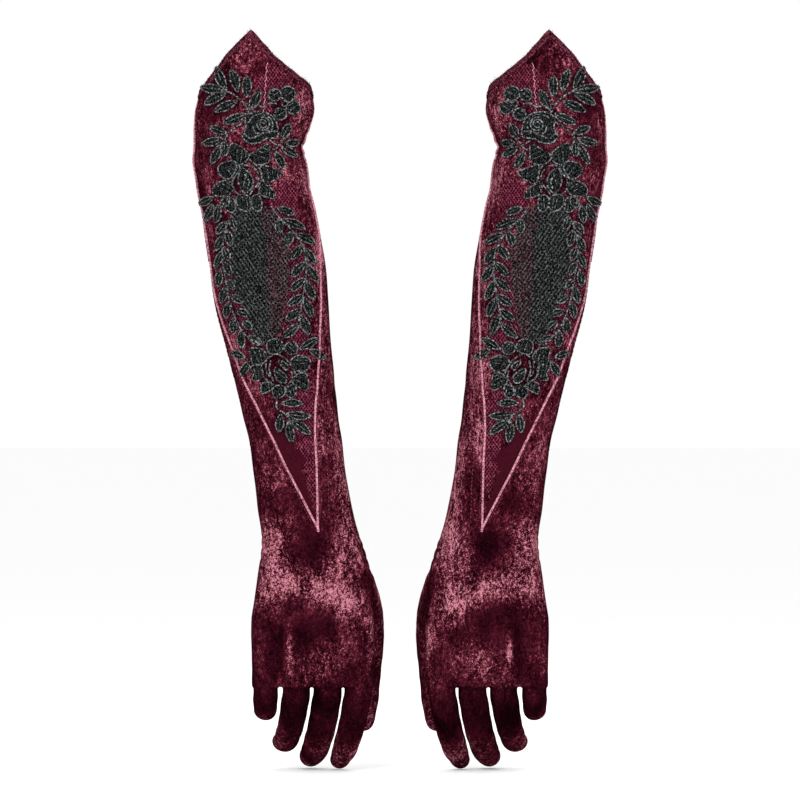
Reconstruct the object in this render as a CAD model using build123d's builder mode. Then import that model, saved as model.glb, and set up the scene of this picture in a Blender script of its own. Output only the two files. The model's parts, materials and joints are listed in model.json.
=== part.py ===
"""A pair of opera gloves in crushed velvet, each one a set of sewn fabric pieces.

The pair hangs with the fingers down. +Z is up, the backs of the hands face -Y
and the palms face +Y. The right glove is drawn at -X, and the left glove is its
mirror image about the YZ plane. Lengths are in millimetres.
"""

from build123d import *
import math
import os

os.makedirs("parts", exist_ok=True)

# Fabric thicknesses.
VELVET = 1.2
HEM_THICKNESS = 2.2
HEM_DEPTH = 5.0
PIPING_WIDTH = 2.4
PIPING_RISE = 1.4
LACE_RISE = 0.9

# How far a cutting block reaches, which is well past the arm's surface.
REACH = 60.0

# The frame's origin is the centre of the pair's box, so the arm's own axis
# stands this far from it.
DEPTH_CENTRE = 8.419
HEIGHT_CENTRE = 0.104

# Levels down the sleeve.
PEAK_LEVEL = 246.4
CUFF_SIDE_LEVEL = 208.0
CUFF_BACK_LEVEL = 205.0
ELBOW_LEVEL = 170.0
ELBOW_HALF_FOLD = 6.0
WRIST_LEVEL = -99.0
WRIST_HALF_FOLD = 12.0
WEB_LEVEL = -188.0

# The cuff's top edge: its peak, and the two points where the front edge runs
# out beside the arm, as distances below the side level.
PEAK_X = -100.0
CUFF_OUTER_X = -140.0
CUFF_OUTER_DROP = 9.0
CUFF_INNER_X = -50.0
CUFF_INNER_DROP = 7.0
ABOVE_ALL = 300.0

ELBOW_X = -100.2
WRIST_X = -60.2

# Stations down the arm: centre x, level, half width, half depth.
CUFF_STATIONS = [
    (-95.5, 250.0, 35.0, 32.5),
    (-95.7, 209.0, 36.6, 34.0),
    (-96.5, 193.0, 38.6, 35.0),
    (-99.6, ELBOW_LEVEL + ELBOW_HALF_FOLD, 36.8, 34.5),
]
ELBOW_STATIONS = [
    (-99.6, ELBOW_LEVEL + ELBOW_HALF_FOLD, 36.8, 34.5),
    (ELBOW_X, ELBOW_LEVEL, 36.2, 34.3),
    (-100.2, ELBOW_LEVEL - ELBOW_HALF_FOLD, 36.6, 34.4),
]
FOREARM_STATIONS = [
    (-100.2, ELBOW_LEVEL - ELBOW_HALF_FOLD, 36.6, 34.4),
    (-97.7, 145.0, 37.2, 35.0),
    (-91.0, 113.0, 38.0, 35.0),
    (-86.0, 73.0, 38.0, 34.5),
    (-79.0, 25.0, 34.2, 31.5),
    (-70.0, -23.0, 31.2, 27.0),
    (-63.5, -66.0, 31.0, 23.0),
    (-60.6, WRIST_LEVEL + WRIST_HALF_FOLD, 32.0, 21.5),
]
WRIST_STATIONS = [
    (-60.6, WRIST_LEVEL + WRIST_HALF_FOLD, 32.0, 21.5),
    (WRIST_X, WRIST_LEVEL, 32.8, 20.3),
    (-59.8, WRIST_LEVEL - WRIST_HALF_FOLD, 34.6, 19.2),
]
HAND_STATIONS = [
    (-59.8, WRIST_LEVEL - WRIST_HALF_FOLD, 34.6, 19.2),
    (-58.5, -130.0, 38.4, 17.2),
    (-58.0, -150.0, 41.0, 16.0),
    (-57.9, -170.0, 40.9, 14.0),
    (-58.2, WEB_LEVEL, 40.4, 12.0),
]
# The thumb's gusset: centre x, centre y, level, radius.
GUSSET_STATIONS = [
    (-34.0, 8.0, -111.3, 9.5),
    (-26.5, 17.5, -130.0, 12.3),
    (-21.5, 27.0, -151.0, 10.6),
]

# Digits. Each one bends about its own axis, which leans a little so that the
# fingers curl inwards together. "bends" are the resting bends in degrees at the
# root, middle and last knuckle, "lengths" run between knuckles, "radii" are at
# the root, middle knuckle and tip, and "folds" are half the folds' lengths.
DIGITS = {
    "thumb": dict(root=(-21.5, 27.0, -151.0), splay=-3, lean=0, bends=(4, 6, 4),
                  lengths=(34.0, 18.0, 10.5), radii=(10.6, 9.4, 7.6), folds=(6.0, 6.5)),
    "index": dict(root=(-28.0, 0.0, WEB_LEVEL), splay=-8, lean=10, bends=(14, 26, 20),
                  lengths=(28.0, 23.0, 16.3), radii=(9.1, 8.4, 7.2), folds=(6.5, 7.5)),
    "middle": dict(root=(-48.2, 0.0, WEB_LEVEL), splay=-7, lean=8, bends=(20, 32, 22),
                   lengths=(32.0, 26.5, 17.0), radii=(9.5, 8.7, 7.4), folds=(6.5, 7.5)),
    "ring": dict(root=(-69.0, 0.0, WEB_LEVEL), splay=-6, lean=7, bends=(28, 34, 22),
                 lengths=(31.0, 25.0, 16.0), radii=(9.3, 8.4, 7.3), folds=(6.5, 7.5)),
    "little": dict(root=(-89.5, 0.0, WEB_LEVEL), splay=-4, lean=-1.2, bends=(46, 48, 24),
                   lengths=(24.0, 15.4, 10.6), radii=(8.5, 7.7, 6.5), folds=(6.0, 6.2)),
}

# Edges of the sheer V panel on the front of the forearm, as seen from -Y.
V_TIP = (-54.5, -84.0)
V_INNER_EDGE = [(-54.0, 190.0), (-54.0, 128.0), (-52.7, 84.0), (-53.6, 40.0), (-56.6, -12.0), V_TIP]
V_OUTER_EDGE = [V_TIP, (-74.0, -46.0), (-97.0, 1.0), (-112.0, 37.0), (-126.0, 93.0)]
V_SIDE = [(-145.0, 120.0), (-145.0, 190.0)]
# The cuff's sheer front ends at this x.
CUFF_INSET_BOX = [(-145.0, 150.0), (-145.0, 300.0), (-62.0, 300.0), (-62.0, 150.0)]

# Lace on the forearm: two large flowers joined by two garlands round an oval net.
FLOWERS = [((-101.3, 144.3), 17.5), ((-81.3, 23.0), 16.5)]
PETALS = 8
PETAL_RADIUS = 5.2
FLOWER_HEART = 0.55
NET_CENTRE = (-95.0, 83.0)
NET_HALF_SIZE = (21.0, 42.0)
NET_CORD = 1.6
GARLANDS = [
    [(-85.3, 129.7), (-66.7, 111.0), (-58.7, 86.0), (-61.0, 56.0), (-65.0, 42.0)],
    [(-116.7, 117.7), (-117.5, 95.0), (-116.0, 77.7), (-109.3, 55.7), (-102.0, 44.0)],
]
TAIL = [(-81.3, -3.0), (-74.7, -9.0), (-66.7, -12.3)]
LEAF_LENGTH = 11.5
LEAF_WIDTH = 4.8
LEAVES_PER_GARLAND = 8
LEAVES_PER_TAIL = 4
LEAF_OFFSET = 4.6
LEAF_ANGLE = 42.0
STEM_WIDTH = 1.5
# A trim's solid smaller than this, in cubic millimetres, is a crumb of a cut.
LEAST_TRIM = 20.0

# Lace on the cuff: a spray of leaves beside a small flower and a rose.
SPRAY = [(-126.5, 209.5), (-110.0, 204.5), (-101.5, 193.0), (-100.9, 182.5)]
SMALL_FLOWERS = [((-76.0, 197.8), 8.5), ((-90.0, 184.6), 7.0)]

# The hand's end is cut through at each finger's root by a plug of this height,
# which starts a little below the hand.
PLUG_HEIGHT = 5.0
PLUG_DROP = 1.0
# A finger's base is this much wider at its end than the fold that follows.
BASE_FLARE = 0.2


def at(x, y, z):
    """A point of the arm, moved to the pair's own frame."""
    return Vector(x, y - DEPTH_CENTRE, z - HEIGHT_CENTRE)


def front_plane(y=0.0):
    """A plane for sketches seen from the front, with x to the right and z up."""
    return Plane(origin=at(0.0, y, 0.0), x_dir=(1, 0, 0), z_dir=(0, -1, 0))


def slots(stations, grow=0.0):
    """Slot-shaped faces at the stations, grown outwards."""
    faces = []
    for x, z, half_width, half_depth in stations:
        with BuildSketch(Plane(at(x, 0.0, z))) as station:
            SlotOverall(2 * (half_width + grow), 2 * (half_depth + grow))
        faces.append(station.sketch)
    return faces


def sleeve(stations, outer=0.0, inner=-VELVET):
    """An open sleeve between two surfaces, each grown from the stations."""
    with BuildPart() as tube:
        loft(slots(stations, outer))
        loft(slots(stations, inner), mode=Mode.SUBTRACT)
    return tube.part


def solid_sleeve(stations, grow=0.0):
    """The solid that a sleeve's surface encloses."""
    with BuildPart() as body:
        loft(slots(stations, grow))
    return body.part


# Cuff and hem.

def cuff_edge(drop=0.0):
    """What lies above the cuff's top edge: a point in front, low behind."""
    peak = PEAK_LEVEL - drop
    side = CUFF_SIDE_LEVEL - drop
    back = CUFF_BACK_LEVEL - drop
    outer_top = (CUFF_OUTER_X, ABOVE_ALL)
    inner_top = (CUFF_INNER_X, ABOVE_ALL)
    with BuildPart() as above:
        with BuildSketch(front_plane()):
            with BuildLine():
                Polyline((PEAK_X, peak), (CUFF_OUTER_X, side - CUFF_OUTER_DROP), outer_top, inner_top,
                         (CUFF_INNER_X, side - CUFF_INNER_DROP), (PEAK_X, peak))
            make_face()
        extrude(amount=REACH)
        with BuildSketch(front_plane()):
            with BuildLine():
                Polyline((CUFF_OUTER_X, back), outer_top, inner_top, (CUFF_INNER_X, back), close=True)
            make_face()
        extrude(amount=-REACH)
    return above.part


def inset_window():
    """The face of the V panel, seen from the front."""
    with BuildSketch(front_plane()) as window:
        with BuildLine():
            Spline(*V_INNER_EDGE)
            Spline(*V_OUTER_EDGE)
            Polyline(V_OUTER_EDGE[-1], *V_SIDE, V_INNER_EDGE[0])
        make_face()
    return window.sketch


def prism(face):
    """A prism that runs forwards from a face in the front plane."""
    with BuildPart() as block:
        extrude(face, amount=REACH)
    return block.part


def common(piece, cutter):
    """What two solids share."""
    with BuildPart() as kept:
        add(piece)
        add(cutter, mode=Mode.INTERSECT)
    return kept.part


def without(piece, *cutters):
    """A solid with other solids cut away."""
    with BuildPart() as kept:
        add(piece)
        for cutter in cutters:
            add(cutter, mode=Mode.SUBTRACT)
    return kept.part


def main_solids(piece):
    """The solids of a trim, without the crumbs that a cut leaves beside it."""
    with BuildPart() as kept:
        add([solid for solid in piece.solids() if solid.volume > LEAST_TRIM])
    return kept.part


def cuff_window():
    """The front of the cuff that is made of the sheer fabric."""
    with BuildSketch(front_plane()) as window:
        with BuildLine():
            Polyline(*CUFF_INSET_BOX, close=True)
        make_face()
    return window.sketch


def build_cuff():
    """The part of the sleeve above the elbow, and its rolled hem."""
    tube = without(sleeve(CUFF_STATIONS), cuff_edge(HEM_DEPTH))
    window = prism(cuff_window())
    band = without(sleeve(CUFF_STATIONS, HEM_THICKNESS - VELVET), cuff_edge())
    return {
        "cuff_velvet": without(tube, window),
        "cuff_inset": common(tube, window),
        "hem": common(band, cuff_edge(HEM_DEPTH)),
    }


# Forearm, piping and lace.

def piping_band():
    """The strips of the front plane that the piping covers."""
    with BuildSketch(front_plane()) as band:
        for edge in (V_INNER_EDGE, V_OUTER_EDGE):
            left = [(x - PIPING_WIDTH / 2, z) for x, z in edge]
            right = [(x + PIPING_WIDTH / 2, z) for x, z in edge]
            with BuildLine():
                Spline(*left)
                Spline(*right)
                Line(left[0], right[0])
                Line(left[-1], right[-1])
            make_face()
    return band.sketch


def leaf_places(stem, count):
    """Centres and angles of leaves set on both sides of a stem in turn."""
    line = Edge.make_spline([Vector(x, y) for x, y in stem])
    places = []
    for number in range(count):
        share = (number + 0.5) / count
        point = line @ share
        heading = line % share
        side = 1 if number % 2 else -1
        x = point.X - side * LEAF_OFFSET * heading.Y
        y = point.Y + side * LEAF_OFFSET * heading.X
        angle = math.degrees(math.atan2(heading.Y, heading.X)) + side * LEAF_ANGLE
        places.append((x, y, angle))
    return places


def draw_sprig(stem, count):
    """A stem with its leaves, drawn into the open sketch."""
    with BuildLine() as line:
        Spline(*stem)
    trace(line.line, line_width=STEM_WIDTH)
    for x, y, angle in leaf_places(stem, count):
        with Locations((x, y)):
            Ellipse(LEAF_LENGTH / 2, LEAF_WIDTH / 2, rotation=angle)


def draw_flower(centre, radius):
    """A flower of round petals, drawn into the open sketch."""
    with Locations(centre):
        Circle(radius * FLOWER_HEART)
        with PolarLocations(radius - PETAL_RADIUS, PETALS):
            Circle(PETAL_RADIUS)


def medallion_face():
    """The lace on the forearm, seen from the front."""
    with BuildSketch(front_plane()) as lace:
        for stem in GARLANDS:
            draw_sprig(stem, LEAVES_PER_GARLAND)
        draw_sprig(TAIL, LEAVES_PER_TAIL)
        with Locations(NET_CENTRE):
            Ellipse(NET_HALF_SIZE[0], NET_HALF_SIZE[1])
            Ellipse(NET_HALF_SIZE[0] - NET_CORD, NET_HALF_SIZE[1] - NET_CORD, mode=Mode.SUBTRACT)
        for centre, radius in FLOWERS:
            draw_flower(centre, radius)
    return lace.sketch


def spray_face():
    """The lace on the cuff, seen from the front."""
    with BuildSketch(front_plane()) as lace:
        draw_sprig(SPRAY, LEAVES_PER_GARLAND)
        for centre, radius in SMALL_FLOWERS:
            with Locations(centre):
                Circle(radius)
    return lace.sketch


def build_forearm():
    """The sleeve from the elbow to the wrist, with its V panel and trims."""
    tube = sleeve(FOREARM_STATIONS)
    window = prism(inset_window())
    piping_layer = sleeve(FOREARM_STATIONS, PIPING_RISE, 0.0)
    lace_layer = sleeve(FOREARM_STATIONS, LACE_RISE, 0.0)
    piping = common(piping_layer, prism(piping_band()))
    return {
        "forearm_velvet": without(tube, window),
        "forearm_inset": common(tube, window),
        "piping": piping,
        "lace_medallion": main_solids(without(common(lace_layer, prism(medallion_face())), piping)),
    }


# Hand.

def root_holes():
    """Plugs through the hand's end, one at each finger's root."""
    with BuildPart() as plugs:
        for name in ("index", "middle", "ring", "little"):
            x, y, z = DIGITS[name]["root"]
            with BuildSketch(Plane(at(x, y, z - PLUG_DROP))):
                Circle(DIGITS[name]["radii"][0] - VELVET)
        extrude(amount=PLUG_HEIGHT)
    return plugs.part


def gusset_solid(grow=0.0):
    """The solid that the thumb's gusset encloses."""
    faces = []
    for x, y, z, radius in GUSSET_STATIONS:
        with BuildSketch(Plane(at(x, y, z))) as station:
            Circle(radius + grow)
        faces.append(station.sketch)
    with BuildPart() as body:
        loft(faces)
    return body.part


def half_hand(shell, keep):
    """One side of the hand, cut along its side seams."""
    with BuildPart() as half:
        add(shell)
        split(bisect_by=Plane(origin=at(0, 0, 0), z_dir=(0, 1, 0)), keep=keep)
    return half.part


def build_hand():
    """The back, the palm and the thumb's gusset."""
    outer = solid_sleeve(HAND_STATIONS)
    inner_stations = HAND_STATIONS[:-1]
    x, z, half_width, half_depth = HAND_STATIONS[-1]
    inner_stations = inner_stations + [(x, z + VELVET, half_width, half_depth)]
    inner = solid_sleeve(inner_stations, -VELVET)
    shell = without(outer, inner, root_holes(), gusset_solid(-VELVET))
    return {
        "hand_back": half_hand(shell, Keep.BOTTOM),
        "hand_palm": half_hand(shell, Keep.TOP),
        "thumb_gusset": without(gusset_solid(), gusset_solid(-VELVET), outer),
    }


# Digits.

def turned(vector, axis, angle):
    """A vector turned about an axis through the origin."""
    return vector.rotate(Axis((0, 0, 0), axis), angle)


def digit_axis(name):
    """The hinge axis of a digit. A positive turn curls it towards the palm."""
    splay = math.radians(DIGITS[name]["splay"])
    lean = math.radians(DIGITS[name]["lean"])
    across = Vector(math.cos(splay), 0, math.sin(splay)) * math.cos(lean)
    return across + Vector(0, math.sin(lean), 0)


def digit_chain(name):
    """Knuckle points and the directions of the digit's three lengths."""
    digit = DIGITS[name]
    splay = math.radians(digit["splay"])
    straight = Vector(math.sin(splay), 0, -math.cos(splay))
    axis = digit_axis(name)
    bends = digit["bends"]
    directions = [turned(straight, axis, sum(bends[:count])) for count in (1, 2, 3)]
    root = at(*digit["root"])
    hinge = root + Vector(0, 0, -digit["folds"][0])
    knuckle = hinge + directions[0] * (digit["lengths"][0] - digit["folds"][0])
    last = knuckle + directions[1] * digit["lengths"][1]
    tip = last + directions[2] * digit["lengths"][2]
    return root, [hinge, knuckle, last, tip], directions


def rounds(axis, sections, grow=0.0):
    """Round faces, given as centre, direction and radius, grown outwards."""
    faces = []
    for centre, direction, radius in sections:
        with BuildSketch(Plane(origin=centre, x_dir=axis, z_dir=direction)) as section:
            Circle(radius + grow)
        faces.append(section.sketch)
    return faces


def round_tube(axis, sections):
    """An open tube through round sections."""
    with BuildPart() as tube:
        loft(rounds(axis, sections))
        loft(rounds(axis, sections, -VELVET), mode=Mode.SUBTRACT)
    return tube.part


def fingertip(axis, sections):
    """A tube through round sections, closed by a round end."""
    end, direction, radius = sections[-1]
    end_plane = Plane(origin=end, x_dir=axis, z_dir=direction)
    with BuildPart() as tip:
        loft(rounds(axis, sections))
        with Locations(end_plane.location):
            Sphere(radius, arc_size1=0)
        loft(rounds(axis, sections, -VELVET), mode=Mode.SUBTRACT)
        with Locations(end_plane.location):
            Sphere(radius - VELVET, arc_size1=0, mode=Mode.SUBTRACT)
    return tip.part


def midway(first, second):
    """The direction halfway between two directions."""
    return (first + second).normalized()


def build_digit(name):
    """A digit's root fold, base, middle fold and tip."""
    digit = DIGITS[name]
    axis = digit_axis(name)
    root, (hinge, knuckle, last, tip), (first, second, third) = digit_chain(name)
    root_radius, middle_radius, tip_radius = digit["radii"]
    last_radius = (middle_radius + tip_radius) / 2
    root_fold, middle_fold = digit["folds"]
    base_start = hinge + first * root_fold
    base_end = knuckle - first * middle_fold
    tip_start = knuckle + second * middle_fold
    down = Vector(0, 0, -1)
    return {
        "root_fold": round_tube(axis, [(root, down, root_radius),
                                       (hinge, midway(down, first), root_radius),
                                       (base_start, first, root_radius)]),
        "base": round_tube(axis, [(base_start, first, root_radius),
                                  (base_end, first, middle_radius + BASE_FLARE)]),
        "fold": round_tube(axis, [(base_end, first, middle_radius + BASE_FLARE),
                                  (knuckle, midway(first, second), middle_radius),
                                  (tip_start, second, middle_radius)]),
        "tip": fingertip(axis, [(tip_start, second, middle_radius),
                                (last, midway(second, third), last_radius),
                                (tip, third, tip_radius)]),
    }


# One glove and its twin.

def build_glove():
    """All the pieces of the right glove by name."""
    pieces = {}
    pieces.update(build_cuff())
    spray_layer = without(sleeve(CUFF_STATIONS, LACE_RISE, 0.0), cuff_edge(HEM_DEPTH))
    pieces["lace_spray"] = common(spray_layer, prism(spray_face()))
    pieces["elbow_fold"] = sleeve(ELBOW_STATIONS)
    pieces.update(build_forearm())
    pieces["wrist_fold"] = sleeve(WRIST_STATIONS)
    pieces.update(build_hand())
    root_folds = []
    for name in DIGITS:
        digit = build_digit(name)
        root_folds.append(digit.pop("root_fold"))
        for part_name, piece in digit.items():
            pieces[name + "_" + part_name] = piece
    pieces["root_folds"] = Compound(root_folds)
    return pieces


def save_pair(name, piece):
    """Write a piece of the right glove and its mirror image."""
    with BuildPart() as right:
        add(piece)
    right.part.label = "right_" + name
    export_step(right.part, "parts/right_" + name + ".step")
    with BuildPart() as left:
        mirror(piece, about=Plane.YZ)
    left.part.label = "left_" + name
    export_step(left.part, "parts/left_" + name + ".step")


def main():
    for name, piece in build_glove().items():
        save_pair(name, piece)


if __name__ == "__main__":
    main()
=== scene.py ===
"""A pair of crushed-velvet opera gloves with a V panel, piping and corded lace."""
import json
import math

import bmesh
import bpy
import numpy as np
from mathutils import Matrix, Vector


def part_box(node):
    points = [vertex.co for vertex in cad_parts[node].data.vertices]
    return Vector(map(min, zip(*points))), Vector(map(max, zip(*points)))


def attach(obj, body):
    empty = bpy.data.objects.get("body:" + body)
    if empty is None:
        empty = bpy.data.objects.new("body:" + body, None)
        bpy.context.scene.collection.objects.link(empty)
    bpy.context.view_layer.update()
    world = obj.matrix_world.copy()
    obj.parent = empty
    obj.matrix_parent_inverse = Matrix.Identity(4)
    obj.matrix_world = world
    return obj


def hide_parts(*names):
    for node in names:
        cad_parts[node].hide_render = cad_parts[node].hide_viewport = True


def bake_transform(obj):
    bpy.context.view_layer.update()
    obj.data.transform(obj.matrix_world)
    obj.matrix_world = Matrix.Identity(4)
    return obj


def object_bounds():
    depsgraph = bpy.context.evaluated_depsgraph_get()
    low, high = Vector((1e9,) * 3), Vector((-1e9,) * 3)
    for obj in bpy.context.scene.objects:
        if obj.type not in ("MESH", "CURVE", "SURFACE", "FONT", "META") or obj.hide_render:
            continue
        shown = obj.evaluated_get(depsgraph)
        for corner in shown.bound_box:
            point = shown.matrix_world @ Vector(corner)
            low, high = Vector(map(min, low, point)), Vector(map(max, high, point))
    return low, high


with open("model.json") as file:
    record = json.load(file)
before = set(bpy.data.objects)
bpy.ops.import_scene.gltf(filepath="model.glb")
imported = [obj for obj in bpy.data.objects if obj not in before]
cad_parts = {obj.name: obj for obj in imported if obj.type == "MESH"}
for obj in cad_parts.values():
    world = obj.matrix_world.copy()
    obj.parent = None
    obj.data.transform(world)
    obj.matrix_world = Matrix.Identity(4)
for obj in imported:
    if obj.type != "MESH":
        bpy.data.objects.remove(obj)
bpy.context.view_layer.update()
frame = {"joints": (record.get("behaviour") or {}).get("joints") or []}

MM = 0.001
JOINTS = {joint["name"]: joint for joint in frame["joints"]}

# ---------------------------------------------------------------- the arm's shape
# Lengths are in millimetres on the right glove. The left one is its mirror image.

wrist_low, wrist_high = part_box("right_wrist_fold")
ARM_Y = (wrist_low.y + wrist_high.y) / 2 / MM
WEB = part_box("right_hand_back")[0].z / MM
# Levels below are written with the fingers' webs at TABLE_WEB. DROP moves them to the frame.
TABLE_WEB = -188.0
DROP = WEB - TABLE_WEB

# Stations down the arm: level, centre x, half width, half depth, squareness.
STATIONS = np.array([
    (250.0, -95.5, 33.5, 31.5, 2.00),
    (225.0, -98.0, 35.0, 33.0, 2.00),
    (209.0, -95.7, 36.6, 34.0, 2.00),
    (193.0, -96.4, 39.6, 35.0, 2.00),
    (183.0, -98.4, 38.3, 35.0, 2.00),
    (169.0, -100.7, 36.0, 34.3, 2.00),
    (161.0, -100.3, 37.0, 34.5, 2.00),
    (145.0, -97.7, 37.0, 35.0, 2.00),
    (113.0, -91.3, 38.0, 35.0, 2.00),
    (73.0, -86.0, 38.0, 34.5, 2.00),
    (49.0, -83.0, 36.3, 33.0, 2.00),
    (25.0, -78.7, 34.0, 31.3, 2.02),
    (1.0, -74.4, 32.4, 29.0, 2.05),
    (-23.0, -70.3, 31.0, 27.0, 2.10),
    (-47.0, -66.7, 30.7, 24.8, 2.15),
    (-71.0, -63.3, 31.4, 22.8, 2.20),
    (-87.0, -60.4, 32.4, 21.5, 2.20),
    (-99.0, -58.4, 34.6, 20.4, 2.22),
    (-111.0, -57.2, 37.0, 19.2, 2.25),
    (-124.0, -57.8, 38.5, 18.2, 2.30),
    (-150.0, -58.2, 41.2, 16.6, 2.40),
    (-170.0, -58.0, 41.0, 14.4, 2.50),
    (-188.0, -58.4, 40.2, 12.2, 2.60),
])
# The top edge: its peak, its level at the sides and behind, its centre and half width,
# and how far its left and right slopes run from the peak.
PEAK_X, PEAK_Z, SIDE_Z, BACK_Z = -100.0, 246.4, 209.0, 205.0
TOP_X, TOP_HALF, LEFT_RUN, RIGHT_RUN = -97.0, 35.5, 31.5, 40.0

# The V panel as seen from the front: the level of its tip, and its edges as level and x.
# Above the tables the edges go on round the arm to an angle in degrees at the top.
TIP_LEVEL = -84.0
V_INNER = [(84.0, -52.7), (42.0, -53.3), (16.0, -54.7), (-12.0, -56.7), (-39.0, -55.6),
           (-84.0, -54.5)]
V_OUTER = [(93.0, -126.3), (64.0, -121.3), (37.0, -112.0), (18.0, -105.0), (1.0, -97.0), (-23.0, -85.0),
           (-46.0, -74.0), (-68.0, -62.7), (-84.0, -54.5)]
INNER_TOP_ANGLE, OUTER_TOP_ANGLE = 106.0, -98.0


def smooth_table(levels, values, z):
    """Values at levels z on a smooth curve through a table, highest level first."""
    order = np.argsort(levels)
    x, y = np.asarray(levels, float)[order], np.asarray(values, float)[order]
    z = np.clip(np.asarray(z, float), x[0], x[-1])
    slope = np.gradient(y, x)
    i = np.clip(np.searchsorted(x, z) - 1, 0, len(x) - 2)
    h = x[i + 1] - x[i]
    t = (z - x[i]) / h
    return ((2 * t**3 - 3 * t**2 + 1) * y[i] + (t**3 - 2 * t**2 + t) * h * slope[i]
            + (3 * t**2 - 2 * t**3) * y[i + 1] + (t**3 - t**2) * h * slope[i + 1])


def column_at(table, column, z):
    """A column of a table at levels z. The table's first column holds the levels."""
    return smooth_table([row[0] for row in table], [row[column] for row in table], z)


def distances(line):
    """How far along a line each of its points lies."""
    return np.concatenate([[0], np.cumsum(np.linalg.norm(np.diff(line, axis=0), axis=1))])


def unit(vectors):
    """Vectors brought to length one."""
    return vectors / np.maximum(np.linalg.norm(vectors, axis=-1, keepdims=True), 1e-9)


def full_turn(count):
    """Angles evenly round a circle."""
    return np.linspace(0, 2 * math.pi, count, endpoint=False)


def section(z):
    """Centre x, half width, half depth and squareness of the arm at a level."""
    return [column_at(STATIONS, column, z) for column in (1, 2, 3, 4)]


def ripple(angle, z):
    """How far the cloth stands off the arm: slack, pulls and creases."""
    lift = 0.35 * np.sin(3 * angle + z / 17.0) * np.sin(z / 29.0 + 1.3)
    lift += 0.25 * np.sin(5 * angle - z / 11.0 + 0.7) * np.sin(z / 13.0)
    lift += 0.18 * np.sin(9 * angle + z / 6.1 + 2.0 * np.sin(z / 23.0))
    inner = np.exp(-((angle - 1.45) / 0.75) ** 2)
    for level, depth, width in ((170.0, 1.6, 2.4), (163.5, 0.9, 1.8), (178.0, 0.8, 2.2)):
        lift -= inner * depth * np.exp(-((z - level - 3.0 * np.cos(angle)) / width) ** 2)
    for level, depth in ((-97.0, 0.55), (-104.0, 0.5), (-90.5, 0.4)):
        lift -= depth * np.exp(-((z - level - 2.5 * np.sin(2 * angle)) / 1.6) ** 2)
    return lift


def angle_of(x, z):
    """The angle round the arm, from the front, of what is seen at x and z."""
    centre, wide, _, square = section(z)
    share = np.clip((np.asarray(x, float) - centre) / wide, -1, 1)
    return np.arcsin(np.sign(share) * np.abs(share) ** (square / 2))


def surface(angle, z, lift=0.0):
    """Points on the sleeve, in millimetres. Angle 0 is the front, positive is towards +X."""
    centre, wide, deep, square = section(z)
    s, c = np.sin(angle), np.cos(angle)
    off = ripple(angle, z) + lift
    x = centre + (wide + off) * np.sign(s) * np.abs(s) ** (2 / square)
    y = ARM_Y - (deep + off) * np.sign(c) * np.abs(c) ** (2 / square)
    return np.stack(np.broadcast_arrays(x, y, np.asarray(z, float) + DROP), axis=-1)


def surface_normal(angle, z):
    """Outward unit normals of the sleeve."""
    aside, above = 0.02, 0.6
    across = surface(angle + aside, z) - surface(angle - aside, z)
    along = surface(angle, z + above) - surface(angle, z - above)
    return unit(np.cross(across, along))


def top_edge(angle):
    """Level of the sleeve's top edge: a point in front and low behind."""
    x = TOP_X + TOP_HALF * np.sin(angle)
    left, right = (PEAK_Z - SIDE_Z) / LEFT_RUN, (PEAK_Z - SIDE_Z) / RIGHT_RUN
    run = x - PEAK_X
    front = PEAK_Z - np.where(run < 0, -run * left, run * right)
    behind = np.clip((-np.cos(angle) + 0.15) / 0.5, 0, 1)
    behind = behind * behind * (3 - 2 * behind)
    return front * (1 - behind) + BACK_Z * behind


def edge_angle(table, top_angle, z):
    """Angle of a V edge at a level, carried on round the arm above the table."""
    x = column_at(table, 1, z)
    start = table[0][0]
    low = angle_of(x, np.minimum(z, start))
    first = angle_of(table[0][1], start)
    share = np.clip((np.asarray(z, float) - start) / (BACK_Z - start), 0, 1)
    return np.where(np.asarray(z) > start, first + share * (math.radians(top_angle) - first), low)


def inner_edge(z):
    """Angle of the V's edge nearer the other glove."""
    return edge_angle(V_INNER, INNER_TOP_ANGLE, z)


def outer_edge(z):
    """Angle of the V's outer edge."""
    return edge_angle(V_OUTER, OUTER_TOP_ANGLE, z)


# ---------------------------------------------------------------- meshes

class Mesh:
    """Points and faces that grow piece by piece."""

    def __init__(self):
        self.points, self.faces, self.normals, self.count = [], [], [], 0

    def add(self, points, faces, normals=None):
        """More points and faces, whose numbers count from the first new point."""
        points = np.asarray(points, float).reshape(-1, 3)
        self.points.append(points)
        normals = np.zeros_like(points) if normals is None else np.asarray(normals)
        self.normals.append(normals.reshape(-1, 3))
        self.faces += [tuple(int(i) + self.count for i in face) for face in faces]
        self.count += len(points)

    def grid(self, points, normals=None, closed=False):
        """A grid of rows and columns. closed joins the last column to the first."""
        rows, columns = points.shape[:2]
        faces = []
        last = columns if closed else columns - 1
        for r in range(rows - 1):
            for c in range(last):
                d = (c + 1) % columns
                here, next_row = r * columns, (r + 1) * columns
                faces.append((here + c, next_row + c, next_row + d, here + d))
        self.add(points, faces, normals)

    def tube(self, line, radius, sides, closed=False):
        """A round cord along points in millimetres."""
        line = np.asarray(line, float)
        before, after = np.roll(line, 1, 0), np.roll(line, -1, 0)
        if not closed:
            before[0], after[-1] = line[0], line[-1]
        way = unit(after - before)
        side = unit(np.cross(way, [0.0, -1.0, 0.0]))
        over = np.cross(side, way)
        turn = full_turn(sides)
        wide = np.broadcast_to(np.asarray(radius, float), (len(line),))[:, None, None]
        ring = np.cos(turn)[None, :, None] * side[:, None] + np.sin(turn)[None, :, None] * over[:, None]
        points = line[:, None] + ring * wide
        if closed:
            points = np.concatenate([points, points[:1]])
            ring = np.concatenate([ring, ring[:1]])
        self.grid(points, ring, closed=True)
        if not closed:
            start = self.count - len(line) * sides
            self.faces.append(tuple(range(start, start + sides)))
            self.faces.append(tuple(range(self.count - 1, self.count - 1 - sides, -1)))


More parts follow.
